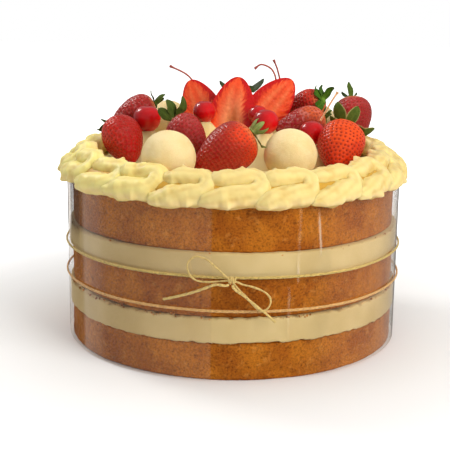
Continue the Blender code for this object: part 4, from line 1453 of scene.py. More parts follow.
@dataclass
class Strawberry:
    """A whole strawberry with its calyx.

    A leaf is the way that it points and its length past the core.
    """

    name: str
    middle: Place
    tip: Place
    length: float
    width: float
    turn: float
    seed: int
    leaves: tuple[tuple[Place, float], ...]
    skin: BerrySkin = field(default_factory=BerrySkin)
    look: LeafLook = field(default_factory=LeafLook)
    sides: int = 120
    rows: int = 96
    shoulder: float = 0.62
    fullness: float = 0.60
    pit_spacing: float = 0.0026
    pit_row: float = 0.87
    pit_depth: float = 0.00055
    pit_width: float = 0.00075
    seed_half: Place = (0.00028, 0.00022, 0.00050)
    seed_rise: float = 0.00014
    core: tuple[float, float] = (0.0026, 0.0013)
    leaf_wall: float = 0.0005
    leaf_root: float = 0.0012
    leaf_curl: float = 0.35
    leaf_arc: float = 0.7
    leaf_rows: int = 22
    leaf_points: int = 11

    def place(self) -> Matrix:
        """The berry's place on the cake."""
        return standing(self.middle, self.tip, turn=self.turn)

    def profile(self, share: Array) -> Array:
        """Half width along the berry, of 1 at its fullest: a sine of a power of the share."""
        return np.sin(math.pi * np.clip(share, 0, 1) ** self.shoulder) ** self.fullness

    def surface(self, share: Array, turn: Array) -> Array:
        """The berry's plain skin in its own axes, with its tip at -Z.

        The half width is lobed by a twofold and a threefold wave.

        Args:
            share: How far along from the calyx to the tip, from 0 to 1.
            turn: The angle about the axis.

        Returns:
            The points.
        """
        draw = np.random.default_rng(self.seed)
        lean, lobes = draw.uniform(0, FULL_TURN), draw.uniform(0, FULL_TURN)
        half = self.width / 2 * self.profile(share)
        half = half * (1 + 0.035 * np.cos(2 * turn + lean) + 0.025 * np.cos(3 * turn + lobes))
        level = self.length * (0.5 - share) + 0 * turn
        return np.stack([half * np.cos(turn), half * np.sin(turn), level], -1)

    def pits(self) -> tuple[Array, Array]:
        """Where the seeds sit, in staggered rows a spacing apart, with a little jitter.

        Returns:
            How far along each seed sits, and its angle about the axis.
        """
        draw = np.random.default_rng(100 + self.seed)
        steps = np.linspace(0.02, 0.99, 300)
        along = run_along(self.surface(steps, np.zeros(300)))
        rows = int(along[-1] / (self.pit_row * self.pit_spacing))
        shares, turns = [], []
        for row in range(1, rows):
            share = float(np.interp(row * self.pit_row * self.pit_spacing, along, steps))
            around = FULL_TURN * self.width / 2 * float(self.profile(np.array(share)))
            count = max(3, round(around / self.pit_spacing))
            turn = np.arange(count) + 0.5 * (row % 2) + draw.uniform(-0.13, 0.13, count)
            turns.append(turn / count * FULL_TURN)
            shares.append(np.clip(share + draw.uniform(-0.008, 0.008, count), 0.03, 0.985))
        return np.concatenate(shares), np.concatenate(turns)

    def tints(self, points: Array, normal: Array, share: Array, hollow: Array) -> Array:
        """The skin's colours: its bright side, partly its own colour and partly painted light; its
        paler shoulder; its pits, darkened by a painted shade; and a painted highlight round each pit.

        A further painted highlight is a pale net between the pits of the side that looks up and to
        the left.

        Args:
            points: The skin's points.
            normal: The way that it looks at each.
            share: How far along from the calyx to the tip.
            hollow: How deep in a pit, from 0 to 1.

        Returns:
            The colours.
        """
        skin = self.skin
        side, upper_left = (np.array(Vector(way).normalized()) for way in (skin.side, (-0.5, -0.3, 0.8)))
        # Partly the berry's own colour, partly painted light: brighter on the side that looks the given
        # way.
        lit = rise(*skin.reach, normal @ side + 0.25 * relief(points, 0.012, 9 + self.seed, 2))
        tint = blend(lit, skin.deep, skin.bright)
        tint = blend(0.5 * rise(0.13, 0.03, share), tint, skin.shoulder)
        # Painted shade: darker in the pits.
        tint = blend(0.8 * hollow, tint, skin.pit)
        # Painted highlight: a paler ring round each pit.
        tint = blend(skin.rings * 4 * hollow * (1 - hollow), tint, skin.ring)
        # Painted highlight: a pale net between the pits, on the side that looks up and to the left.
        net = rise(0.0, 0.5, relief(points, 0.0016, 19 + self.seed, 2)) * (1 - hollow)
        return blend(skin.glint_net * (net * rise(-0.1, 0.9, normal @ upper_left)), tint, skin.net)

    def flesh(self, finishes: Sequence[Material]) -> None:
        """The berry with its pits, and a seed in each.

        The skin sinks by a bell curve round each seed and swells a little between them.

        Args:
            finishes: The skin's and the seeds' materials.
        """
        share = np.linspace(0.004, 0.996, self.rows)[:, None]
        turn = round_angles(self.sides)[None, :]
        grid = self.surface(share + 0 * turn, turn + 0 * share)
        normal = facing(grid)
        pit_share, pit_turn = self.pits()
        pits = self.surface(pit_share, pit_turn)
        nearest = np.full(grid.shape[:2], 1.0)
        for part in np.array_split(pits, 8):
            away = np.linalg.norm(grid[:, :, None] - part, axis=-1).min(-1)
            nearest = np.minimum(nearest, away)
        hollow = bell(nearest, self.pit_width)
        swell = 0.00012 * relief(grid, 0.006, 30 + self.seed, 2)
        moved = grid + (swell - self.pit_depth * hollow)[..., None] * normal
        place = self.place()
        world = carried(moved, place)
        ways = carried(normal, Matrix(place.to_3x3()).to_4x4())
        tint = self.tints(world, ways, share + 0 * turn, hollow)
        ends = carried(np.array([[0, 0, self.length / 2 - 0.0006], [0, 0, -self.length / 2]]), place)
        piece = Piece(f"{self.name}_flesh")
        piece.rings(world, tint, ends=(ends[0], ends[1]))
        axes, middles = self.seed_axes(pits, pit_share, pit_turn)
        rotation = np.array(place)[:3, :3]
        piece.copies(carried(middles, place), axes @ rotation.T, self.skin.seed, finish=1)
        piece.build(finishes, Slot.BERRY, [self.name], 180.0)

    def seed_axes(self, pits: Array, share: Array, turn: Array) -> tuple[Array, Array]:
        """Half axes and middles of the seeds: long down the berry, and flat in the pit.

        Args:
            pits: Where the seeds sit.
            share: How far along each sits.
            turn: Its angle about the axis.

        Returns:
            The half axes, one a row, and the middles.
        """
        before, after = (self.surface(np.clip(share + step, 0, 1), turn) for step in (-0.01, 0.01))
        ahead = unit(after - before)
        sideways = np.stack([-np.sin(turn), np.cos(turn), 0 * turn], -1)
        out = unit(np.cross(sideways, ahead))
        out = out * np.sign((out * pits * (1, 1, 0.2)).sum(-1))[:, None]
        axes = np.stack([way * half for way, half in zip((sideways, out, ahead), self.seed_half)], 1)
        return axes, pits - out * (self.pit_depth - self.seed_rise)

    def shoulder_level(self, radius: Array) -> Array:
        """The height of the berry's shoulder at a distance from its axis."""
        share = np.linspace(0.0, 0.30, 40)
        half = self.width / 2 * self.profile(share) * 1.05
        return self.length * (0.5 - np.interp(radius, half, share))

    def leaf(self, piece: Piece, way: Vector, reach: float, draw: np.random.Generator) -> None:
        """One leaf: a thin wavy blade from the core outwards.

        The middle line leaves the core, follows the shoulder and lifts by as much as its
        way points up the berry's axis. The half width is a sine of the way along, to the
        power of the look's bluntness. The blade folds a little along its middle.

        Args:
            piece: The calyx that it joins.
            way: The way that it points, in the berry's own axes.
            reach: Its length past the core.
            draw: The random numbers for its bends.
        """
        look = self.look
        share = np.linspace(0.0, 1.0, self.leaf_rows)[:, None]
        across = np.linspace(-1, 1, self.leaf_points)[None, :]
        over = reach * share
        slope = np.minimum(max(0.0, math.asin(way.z)) + self.leaf_curl * share**2, math.pi / 2)
        spread = self.leaf_root + over * np.cos(slope) ** self.leaf_arc
        resting = self.shoulder_level(np.minimum(spread, self.width * 0.42))
        height = resting + GAP + self.leaf_wall / 2 + over * np.sin(slope)
        swell = np.sin(math.pi * (look.root + (1 - look.root) * share))
        waist = 1 - look.waist * rise(0.45, 0.0, share)
        half = np.maximum(look.width * reach / 2 * waist * np.maximum(swell, 0) ** look.blunt, 0.0001)
        wave = 0.0003 * np.sin(9 * share + draw.uniform(0, 6)) * np.abs(across)
        fold = 0.10 * half * np.abs(across) ** 1.5
        side = across * half + draw.uniform(-0.06, 0.06) * reach * share**2
        ahead_x, ahead_y = np.array(way[:2]) / math.hypot(*way[:2])
        x, y = spread * ahead_x - side * ahead_y, spread * ahead_y + side * ahead_x
        sheet = np.stack([x, y, height + fold + wave], -1)
        normal = unit(np.cross(np.gradient(sheet, axis=0), np.gradient(sheet, axis=1)))
        thin = self.leaf_wall / 2 * (1 - 0.7 * np.abs(across) ** 3)[..., None]
        grid = np.concatenate([sheet + thin * normal, (sheet - thin * normal)[:, ::-1]], 1)
        piece.rings(carried(grid, self.place()), self.leaf_tint(share, across))

    def leaf_tint(self, share: Array, across: Array) -> Array:
        """A leaf's colours: a pale vein, ribs and foot, a coloured edge and a paler underside.

        Args:
            share: How far along the leaf.
            across: How far across, from -1 to 1.

        Returns:
            The colours of the upper side and of the underside.
        """
        look = self.look
        vein = bell(across, 0.10) * (1 - 0.6 * share)
        ribs = 0.35 * np.clip(np.sin(26 * (share - 0.35 * np.abs(across))), 0, 1) ** 4
        tone = blend(np.clip(0.45 * vein + ribs * 0.4, 0, 1), look.dark, look.pale)
        tone = blend(0.8 * rise(0.84, 1.0, np.abs(across) + 0 * share), tone, look.edge)
        tone = blend(0.6 * rise(0.30, 0.0, share + 0 * across), tone, look.pale)
        under = blend(np.full(tone.shape[:2], 0.35), tone, look.pale)
        return np.concatenate([tone, under[:, ::-1]], 1)

    def calyx(self, finish: Material) -> None:
        """The leaves and the short core that they grow from.

        Args:
            finish: The leaves' material.
        """
        draw = np.random.default_rng(self.seed)
        place = self.place()
        inward = place.to_3x3().inverted()
        piece = Piece(f"{self.name}_leaves")
        for way, reach in self.leaves:
            self.leaf(piece, inward @ Vector(way).normalized(), reach, draw)
        turn = round_angles(20)[None, :]
        share = np.linspace(0, 1, 8)[:, None]
        width, height = self.core
        radius = width * np.cos(share * math.pi / 2 * 0.92) ** 0.6
        top = self.shoulder_level(np.zeros(1))[0] + GAP
        level = top + height * share + 0 * turn
        dome = np.stack([radius * np.cos(turn), radius * np.sin(turn), level], -1)
        piece.rings(carried(dome, place), blend(share + 0 * turn, self.look.dark, self.look.pale))
        piece.build([finish], Slot.LEAF, [f"{self.name}_calyx"], 80.0)

    def support(self) -> Support:
        """Where it rests: the place, the height of its underside and its half width."""
        down = abs(self.tip[2])
        reach = math.hypot(self.length / 2 * down, self.width / 2 * math.sqrt(max(0.0, 1 - down**2)))
        lean = 0.35 * self.length * down
        x, y = self.middle[0] + self.tip[0] * lean, self.middle[1] + self.tip[1] * lean
        return x, y, self.middle[2] - reach, 0.22 * self.width


@dataclass
class HalvedBerry:
    """Half a strawberry, standing on its calyx end with its cut face to the front."""

    name: str
    middle: Place
    tip: Place
    looks: Place
    length: float
    width: float
    hollow: float
    seed: int
    core: Colour = light(250, 84, 32)
    rim: Colour = light(206, 8, 4)
    base: Colour = light(224, 146, 96)
    pale: Colour = light(255, 146, 88)
    skin: Colour = light(170, 20, 20)
    pit: Colour = light(110, 10, 12)
    shoulder_tint: Colour = light(226, 130, 80)
    streak_tint: Colour = light(206, 44, 10)
    fibre_tint: Colour = light(226, 36, 12)
    base_share: float = 0.5
    rim_start: float = 0.66
    rim_lean: float = 0.0
    streak: float = 0.0
    shoulder: float = 0.62
    fullness: float = 0.50
    hollow_middle: float = 0.24
    hollow_length: float = 0.20
    hollow_width: float = 0.0024
    pit_spacing: float = 0.0026
    pit_columns: int = 11
    pit_shift: int = 6
    back_sides: int = 60
    face_sides: int = 72
    rows: int = 110

    def face_tint(self, share: Array, across: Array) -> Array:
        """The cut face: an orange core, paler below, and a wide red rim that fans inwards.

        Fibres run from the axis outwards and up; they are noise that changes quickly along
        the axis and slowly across it, and they move the rim's inner edge.

        Args:
            share: How far from the calyx end to the tip.
            across: How far across, from -1 to 1.

        Returns:
            The colours.
        """
        off = np.abs(across)
        fan = np.stack([share - 0.42 * off, 0.16 * across, 0 * share + self.seed], -1)
        fibre = relief(fan, 0.034, 500 + self.seed, 3)
        pale = self.base_share * rise(0.92, 0.28, share) * rise(0.80, 0.1, off)
        tint = blend(pale, self.core, self.base)
        light_side = bell(off - 0.30, 0.13) * rise(0.97, 0.7, share)
        tint = blend(0.45 * light_side, tint, self.pale)
        middle = bell(across - 0.05, 0.07) * rise(0.15, 0.4, share) * rise(0.98, 0.8, share)
        tint = blend(self.streak * middle, tint, self.streak_tint)
        tint = blend(0.34 * rise(0.0, 0.8, fibre) * rise(0.18, 0.5, off), tint, self.fibre_tint)
        tint = blend(0.16 * rise(0.2, 0.9, -fibre) * rise(0.1, 0.3, off), tint, self.pale)
        start = self.rim_start + self.rim_lean * across - 0.16 * fibre
        edge = off + 0.30 * rise(0.86, 1.0, share) + 0.15 * rise(0.08, 0.0, share)
        return blend(rise(0.0, 0.26, edge - start), tint, self.rim)

    def build(self, finish: Material) -> None:
        """The half: its back is half a berry, and its face is flat but for a hollow core.

        The back's rings are half circles of the berry's profile. The hollow is a bell curve
        along the face and across it.

        Args:
            finish: The flesh's material.
        """
        lean = np.random.default_rng(self.seed).uniform(0, FULL_TURN)
        share = np.linspace(0.004, 0.996, self.rows)[:, None]
        half = self.width / 2 * np.sin(math.pi * share**self.shoulder) ** self.fullness
        turn = np.linspace(0, math.pi, self.back_sides + 1)[None, :]
        across = np.linspace(-1, 1, self.face_sides + 1)[None, 1:-1]
        back = half * (1 + 0.035 * np.cos(2 * turn + lean) * np.sin(turn))
        x_back, y_back = back * np.cos(turn), back * np.sin(turn)
        spots = np.cos(self.length / self.pit_spacing * FULL_TURN * share)
        spots = spots * np.cos(turn * self.pit_columns + FULL_TURN * self.pit_shift * share)
        pit = rise(0.62, 0.95, spots) * np.sin(turn)
        x_back, y_back = x_back * (1 - 0.035 * pit), y_back * (1 - 0.035 * pit)
        off_middle = ((share - self.hollow_middle) / self.hollow_length) ** 2
        sunk = self.hollow * np.exp(-off_middle - (half * across / self.hollow_width) ** 2)
        sheet = np.stack([half * across, sunk, self.length * share + 0 * across], -1)
        grain = 0.00012 * relief(sheet, 0.002, 3, 2)
        bulge = -0.0005 * (1 - across**2) * rise(0.0, 0.2, share) * rise(1.0, 0.8, share)
        level = self.length * (0.5 - share)
        back_grid = np.stack([x_back, y_back, level + 0 * turn], -1)
        face_grid = np.stack([half * across, sunk + grain + bulge, level + 0 * across], -1)
        grid = np.concatenate([back_grid, face_grid], 1)
        # Painted shade: the back is darker in its pits.
        skin = blend(0.4 * pit, np.broadcast_to(self.skin, back_grid.shape), self.pit)
        skin = blend(0.5 * rise(0.12, 0.02, share + 0 * turn), skin, self.shoulder_tint)
        tint = np.concatenate([skin, self.face_tint(share + 0 * across, across + 0 * share)], 1)
        tint[:, 0] = tint[:, self.back_sides] = self.rim
        place = standing(self.middle, self.tip, self.looks)
        poles = np.array([[0, 0.0004, self.length / 2 - 0.0006], [0, 0.0002, -self.length / 2]])
        ends = carried(poles, place)
        piece = Piece(f"{self.name}_flesh")
        piece.rings(carried(grid, place), tint, ends=(ends[0], ends[1]))
        piece.build([finish], Slot.CUT_BERRY, [self.name], 60.0)

    def support(self) -> Support:
        """Where it rests: the place, the height of its lower end and its half width."""
        low = Vector(self.middle) - Vector(self.tip).normalized() * self.length / 2
        return low.x, low.y + 0.2 * self.width, low.z, 0.30 * self.width


@dataclass
class Sweet:
    """A round sweet with a powdered coat."""

    name: str
    middle: Place
    seed: int
    radius: float = 0.0150
    pale: Colour = light(242, 219, 164)
    deep: Colour = light(234, 207, 146)
    rows: int = 98
    sides: int = 160

    def build(self, finish: Material) -> None:
        """A ball with a finely grained coat and faint dents.

        Args:
            finish: The sweet's material.
        """
        polar = np.linspace(0, math.pi, self.rows)[1:-1, None]
        ways = ball_ways(polar, round_angles(self.sides)[None, :])
        points = self.radius * ways
        coat = 0.00007 * relief(points, 0.0011, 200 + self.seed, 2)
        dents = 0.00025 * relief(points, 0.011, 220 + self.seed, 2)
        grid = np.array(self.middle) + ways * (self.radius + coat + dents)[..., None]
        # Painted light: paler towards the top, over random clouds of tone.
        cloud = rise(-0.6, 0.8, relief(points, 0.008, 240 + self.seed, 3) + 0.4 * ways[..., 2])
        poles = np.array(self.middle) + np.array([[0, 0, self.radius], [0, 0, -self.radius]])
        piece = Piece(f"{self.name}_coat")
        piece.rings(grid, blend(cloud, self.deep, self.pale), ends=(poles[0], poles[1]))
        piece.build([finish], Slot.SWEET, [self.name], 180.0)

    def support(self) -> Support:
        """Where it rests."""
        return self.middle[0], self.middle[1], self.middle[2] - self.radius, 0.3 * self.radius


@dataclass
class Cherry:
    """A glazed cherry."""

    name: str
    middle: Place
    radius: float
    seed: int
    deep: Colour = light(168, 4, 14)
    bright: Colour = light(216, 12, 18)
    dimple: float = 0.12
    rows: int = 42
    sides: int = 64

    def build(self, finish: Material) -> None:
        """A ball with a dimple at its top, painted brighter towards the front and the right as painted
        light.

        Args:
            finish: The glaze.
        """
        polar, turn = np.linspace(0, math.pi, self.rows)[1:-1, None], round_angles(self.sides)[None, :]
        ways = ball_ways(polar, turn)
        reach = self.radius * (1 - self.dimple * bell(polar, 0.45))
        reach = reach * (1 + 0.02 * np.cos(2 * turn + self.seed))
        reach = reach + 0.00008 * relief(ways * self.radius, 0.006, self.seed, 2)
        grid = np.array(self.middle) + ways * reach[..., None]
        # Painted light: brighter towards the front and the right.
        lit_front = rise(-0.2, 1.0, ways @ np.array(Vector((0.5, -0.7, -0.2)).normalized()))
        heights = (self.radius * (1 - self.dimple), -self.radius)
        poles = np.array(self.middle) + np.array([[0, 0, height] for height in heights])
        piece = Piece(f"{self.name}_glaze")
        piece.rings(grid, blend(lit_front, self.deep, self.bright), ends=(poles[0], poles[1]))
        piece.build([finish], Slot.CHERRY, [self.name], 180.0)

    def support(self) -> Support:
        """Where it rests."""
        return self.middle[0], self.middle[1], self.middle[2] - self.radius, 0.5 * self.radius


@dataclass
class Stem:
    """A cherry's stem, from the cherry to its free end."""

    name: str
    route: tuple[Place, ...]
    radius: float = 0.0007
    low: Colour = light(226, 120, 84)
    high: Colour = light(172, 88, 80)
    steps: int = 60
    sides: int = 12

    def build(self, finish: Material) -> None:
        """A thin round stalk that swells at its free end.

        Args:
            finish: The stems' material.
        """
        path = smooth_route(self.route, self.steps)
        angle, along = round_angles(self.sides)[None, :], np.linspace(0, 1, self.steps)[:, None]
        thick = self.radius * (0.8 + 0.25 * rise(0.15, 0.0, along) + 0.55 * rise(0.90, 1.0, along))
        outward = np.broadcast_to(np.array([0.1, -1.0, 0.05]), path.shape)
        grid = tube(path, outward, thick + 0 * angle, thick + 0 * angle, angle + 0 * along)
        weave = on_cord(along * route_length(path) / FIBRE, angle)
        piece = Piece(f"{self.name}_stalk")
        piece.rings(grid, blend(along + 0 * angle, self.low, self.high), weave)
        piece.build([finish], Slot.STEM, [self.name])


@dataclass
class TopCream:
    """The cream on top: level, with a raised rim and a heap that carries the fruit.

    A support is a topping's place, the height of its underside and its half width. Rings
    of points go from the first radius to the second in so many steps.
    """

    supports: Array
    level: float = 0.1001
    slope: float = 0.0015
    border_radius: float = 0.0940
    bottom: float = 0.0983
    heap_slope: float = 1.1
    heap_press: float = 0.0008
    heap_reach: tuple[float, float] = (0.0775, 0.0815)
    rim_radii: tuple[float, ...] = (0.0560, 0.0680, 0.0740, 0.0785, 0.0815)
    rim_heights: tuple[float, ...] = (0.0010, 0.0022, 0.0036, 0.0032, 0.0)
    edge: float = 0.0965
    rings: tuple[tuple[float, float, int], ...] = ((0.0965, 0.0785, 14), (0.0775, 0.0012, 90))
    pale: Colour = light(240, 222, 162)
    deep: Colour = light(230, 204, 134)
    sides: int = 260

    def height(self, x: Array, y: Array) -> Array:
        """The cream's height: the slope, plus the higher of the heap and the rim.

        The heap is the highest of the cones under the toppings, each flat in its middle.

        Args:
            x: Places across.
            y: Places from front to back.

        Returns:
            The heights.
        """
        base = self.level + self.slope * (1 + y / self.border_radius)
        heap = np.zeros_like(base)
        for place_x, place_y, bottom, flat in self.supports:
            away = np.maximum(np.hypot(x - place_x, y - place_y) - flat, 0)
            heap = np.maximum(heap, bottom + self.heap_press - base - self.heap_slope * away)
        radius = np.hypot(x, y)
        inside = np.clip((self.heap_reach[1] - radius) / (self.heap_reach[1] - self.heap_reach[0]), 0, 1)
        return base + np.maximum(heap * inside, np.interp(radius, self.rim_radii, self.rim_heights))

    def build(self, finish: Material) -> None:
        """The cream, with the soft swirls of a spatula.

        Args:
            finish: The cream's material.
        """
        angle = round_angles(self.sides)[None, :]
        radius = np.concatenate([np.linspace(*stretch) for stretch in self.rings])[:, None]
        x, y = radius * np.sin(angle), -radius * np.cos(angle)
        flat = np.stack([x, y, 0 * x], -1)
        swirl = relief(flat, 0.011, 300, 3)
        top = self.height(x, y) + 0.0006 * swirl * rise(0.093, 0.078, radius)
        foot = round_cake(angle, self.edge, self.bottom)
        grid = np.concatenate([foot, np.stack([x, y, top], -1)])
        # Painted shade: deeper in the hollows of the swirls and along the foot, paler on the crests.
        tone = np.concatenate([np.zeros((1, self.sides)), rise(-0.7, 0.7, swirl)])
        piece = Piece("heaped_cream")
        piece.rings(grid, blend(tone, self.deep, self.pale), ends=((0.0, 0.0, self.bottom), None))
        piece.build([finish], Slot.CREAM, ["cream_top"])


@dataclass
class PipedBorder:
    """The piped border: a ring of hairpin strokes from a star nozzle."""

    radius: float = 0.0940
    level: float = 0.1049
    strokes: int = 21
    rope: float = 0.0055
    lower_arm: float = 0.0240
    upper_arm: float = 0.0225
    arm_across: float = 0.0045
    arm_height: float = 0.0034
    diagonal: float = 0.14
    start_drop: float = 0.0030
    end_drop: float = 0.0012
    slope: float = 0.0015
    ridges: int = 7
    stations: int = 110
    sides: int = 42
    overrun: float = 0.022
    fuller: float = 1.13
    pale: Colour = light(234, 212, 141)
    # Painted light: the colour that the left of the border is painted towards.
    paler: Colour = light(249, 234, 150)
    deep: Colour = light(204, 156, 60)
    blush: Colour = light(238, 208, 156)
    teeth: int = 8
    tooth: float = 0.60
    tooth_side: float = 0.15
    seed: int = 13
    core_half: float = 0.0052
    core_level: float = 0.1034
    core_rise: float = 0.0040
    core_steps: int = 360
    core_sides: int = 16

    def path(self, share: Array, length: float) -> Array:
        """A stroke's middle line: along the border, across it and up.

        It runs forward low on the outside, turns up and in along a half circle, and comes
        back on top; its start and its end droop.

        Args:
            share: How far along the stroke.
            length: The arms' length, as a share of the usual.

        Returns:
            Lengths along, across and up.
        """
        lower, upper = self.lower_arm * length, self.upper_arm * length
        radius = math.hypot(self.arm_across, self.arm_height)
        turn = math.pi * radius
        run = share * (lower + turn + upper)
        bend = np.clip((run - lower) / turn, 0, 1) * math.pi
        back = np.clip(run - lower - turn, 0, None)
        along = np.minimum(run, lower) - 0.62 * lower + radius * np.sin(bend) - back
        start = np.clip(1 - run / lower, 0, 1) ** 1.5
        end = np.clip(back / upper, 0, 1) ** 1.5
        across = self.arm_across * np.cos(bend) - self.diagonal * along
        height = -self.arm_height * np.cos(bend) - self.start_drop * start - self.end_drop * end
        return np.stack([along, across, height], -1)

    def thickness(self, share: Array) -> Array:
        """Thin where the nozzle starts, full along the stroke, and rounded at both ends.

        Args:
            share: How far along the stroke.

        Returns:
            The rope's width, as a share of its fullest.
        """
        swell = np.clip(0.50 + share / 0.16 * 0.50, 0, 1)
        fade = np.clip((1.03 - share) / 0.15, 0.2, 1) ** 0.6
        to_end = np.minimum(share + self.overrun, 1 + self.overrun - share)
        near = np.clip(to_end / (2 * self.overrun), 0, 1)
        return swell * fade * np.sqrt(1 - (1 - near) ** 2)

    def wrapped(self, local: Array, middle: float, lift: float) -> Array:
        """Lengths along, across and up, wrapped onto the border's ring.

        Args:
            local: The lengths.
            middle: The stroke's angle round the cake.
            lift: How much higher it lies than the others.

        Returns:
            Places on the cake.
        """
        angle = middle + local[..., 0] / self.radius
        level = self.level + lift + local[..., 2] + self.slope * (1 - np.cos(angle))
        return round_cake(angle, self.radius + local[..., 1], level)

    def stroke(self, piece: Piece, number: int, draw: np.random.Generator) -> None:
        """One stroke: a rope with a soft ridge for each tooth of the nozzle.

        A ridge is a raised cosine round the section. It sharpens to a half-turn cosine, and
        stands taller, at the stroke's ends and round its turn, where the cream tears.

        Args:
            piece: The border.
            number: Which stroke.
            draw: The random numbers that give its length, lift, twist and place.
        """
        length = draw.uniform(0.93, 1.07)
        lift, twist = draw.uniform(-0.0006, 0.0006), draw.uniform(0, FULL_TURN)
        middle = (number + draw.uniform(-0.05, 0.05)) / self.strokes * FULL_TURN
        share = np.linspace(-self.overrun, 1 + self.overrun, self.stations)
        path = self.path(share, length)
        ahead = unit(np.gradient(path, axis=0))
        plane = unit(np.array([0.0, self.arm_height, self.arm_across]))
        sideways = unit(np.cross(plane, ahead))
        upright = np.cross(ahead, sideways)
        angle = round_angles(self.sides)[None, :]
        along = np.clip(share, 0, 1)[:, None]
        wind = 1.6 * (1 - along) ** 2 + 0.4 * np.sin(5 * along + twist)
        phase = self.ridges * (angle + wind) + twist
        torn = 0.6 * bell(along - 0.5, 0.09) + rise(0.10, 0.0, along) + rise(0.94, 1.0, along)
        torn = np.clip(torn, 0, 1)
        ridge = (1 - torn) * (0.5 + 0.5 * np.cos(phase)) + torn * np.abs(np.cos(phase / 2)) ** 0.8
        uneven = self.fuller + (0.05 + 0.15 * torn) * (ridge - 0.6)
        number_at = self.teeth * along
        height = draw.uniform(0.1, 1.0, self.teeth + 2)[np.clip(number_at, 0, self.teeth).astype(int)]
        peak = (1 - 2 * np.abs(number_at % 1.0 - 0.5)) ** 1.3
        away_from_turn = (angle - self.tooth_side + math.pi) % FULL_TURN - math.pi
        jag = bell(away_from_turn, 0.30) * (1 - bell(along - 0.5, 0.12))
        reach = self.rope * self.thickness(share)[:, None] * (uneven + self.tooth * height * peak * jag)
        local = path[:, None] + (reach * np.cos(angle))[..., None] * sideways[:, None]
        local = local + (reach * np.sin(angle))[..., None] * upright[:, None]
        world = self.wrapped(local, middle, lift)
        rough = relief(world, 0.0065, 400, 3)
        fine = relief(world, 0.0022, 420, 2) * (0.3 + 0.7 * torn)
        away = unit(world - self.wrapped(path, middle, lift)[:, None])
        world = world + (0.00075 * rough + 0.00028 * fine)[..., None] * away
        piece.rings(world, self.tints(world, np.sin(angle) + 0 * along, ridge, rough, jag))

    def tints(self, world: Array, upward: Array, ridge: Array, rough: Array, jag: Array) -> Array:
        """The cream's colours: a painted shade between its ridges, in its hollows and low down.

        It is painted paler towards the left, a painted light, and is pinker in patches and where it
        tears.

        Args:
            world: The rope's points.
            upward: The sine of the angle round its section.
            ridge: How high each point lies on a ridge.
            rough: How far the skin's lumps stand out.
            jag: How far the torn teeth stand out.

        Returns:
            The colours.
        """
        low = rise(0.3, -0.9, upward)
        # Painted shade: deeper between the ridges, on the underside and in the hollows.
        tone = np.clip(0.20 * (1 - ridge) ** 2 + 0.45 * low + 0.30 * rise(0.0, -0.9, rough), 0, 1)
        # Painted light: paler towards the left.
        tint = blend(tone, blend(rise(-0.01, -0.085, world[..., 0]), self.pale, self.paler), self.deep)
        pinker = 0.5 * rise(0.0, 0.8, relief(world, 0.03, 440, 2)) * rise(0.2, 0.9, low) + 0.5 * jag
        return blend(np.clip(pinker, 0, 1), tint, self.blush)

    def core(self, piece: Piece) -> None:
        """The low ridge of cream that closes the folds under the strokes, all in the folds' deep painted
        shade.

        Args:
            piece: The border.
        """
        angle, turn = round_angles(self.core_steps)[:, None], round_angles(self.core_sides)[None, :]
        rise_back = self.slope * (1 - np.cos(angle))
        out = self.radius + self.core_half * np.cos(turn) * (1 - 0.45 * np.clip(np.sin(turn), 0, 1))
        up = self.core_level + rise_back + self.core_rise * np.sin(turn)
        grid = round_cake(angle + 0 * turn, out + 0 * angle, up)
        # Painted shade: the core takes the folds' deep shade colour all over.
        piece.hoop(grid, self.deep)

    def build(self, finish: Material) -> None:
        """All strokes over their core.

        Args:
            finish: The border's material.
        """
        draw = np.random.default_rng(self.seed)
        piece = Piece("star_piped_border")
        for number in range(self.strokes):
            self.stroke(piece, number, draw)
        self.core(piece)
        piece.build([finish], Slot.BORDER_CREAM, ["piped_border"], 180.0)


PURPLE = BerrySkin(
    light(138, 10, 20), light(168, 26, 30), (-0.2, -0.5, 0.8), (0.1, 1.0), light(96, 4, 12),
    light(166, 50, 44), glint_net=0.3
)
DUSKY = BerrySkin(
    light(144, 14, 24), light(172, 34, 38), (-0.2, -0.3, 0.9), (0.1, 1.0), light(104, 6, 14),
    light(168, 62, 50), glint_net=0.12
)
RED = BerrySkin(
    light(172, 1, 4), light(214, 32, 12), (-0.85, -0.3, 0.3), (0.35, 1.0), light(126, 1, 4),
    light(180, 40, 24), glint_net=0.1
)
ORANGE = BerrySkin(
    light(198, 18, 5), light(238, 80, 20), (0.4, -0.3, 0.85), (-0.1, 0.8), light(124, 5, 3),
    light(146, 26, 12), 0.1
)
TWO_TONE = BerrySkin(
    light(158, 1, 3), light(232, 58, 10), (0.8, -0.3, 0.5), (0.2, 0.9), light(122, 1, 2),
    light(184, 50, 24), 0.25
)
MAGENTA = BerrySkin(
    light(146, 8, 26), light(216, 92, 44), (0.55, -0.1, 0.85), (0.3, 0.95), light(108, 4, 14),
    light(190, 90, 70), glint_net=0.25
)
PADDLES = LeafLook(0.48, light(40, 52, 14), light(104, 122, 52), light(74, 88, 34), 0.5, 0.03, 0.72)
EDGED = LeafLook(0.50, light(56, 72, 18), light(108, 122, 46), light(214, 190, 130), 0.5, waist=0.4)
LOBED = LeafLook(0.60, light(62, 98, 24), light(110, 146, 52), light(48, 72, 20), 0.45)
ROUNDED = LeafLook(0.56, light(48, 62, 22), light(92, 108, 46), light(66, 80, 32), 0.36)
FRINGED = LeafLook(0.40, light(86, 110, 38), light(186, 194, 122), light(60, 72, 28), 0.7)


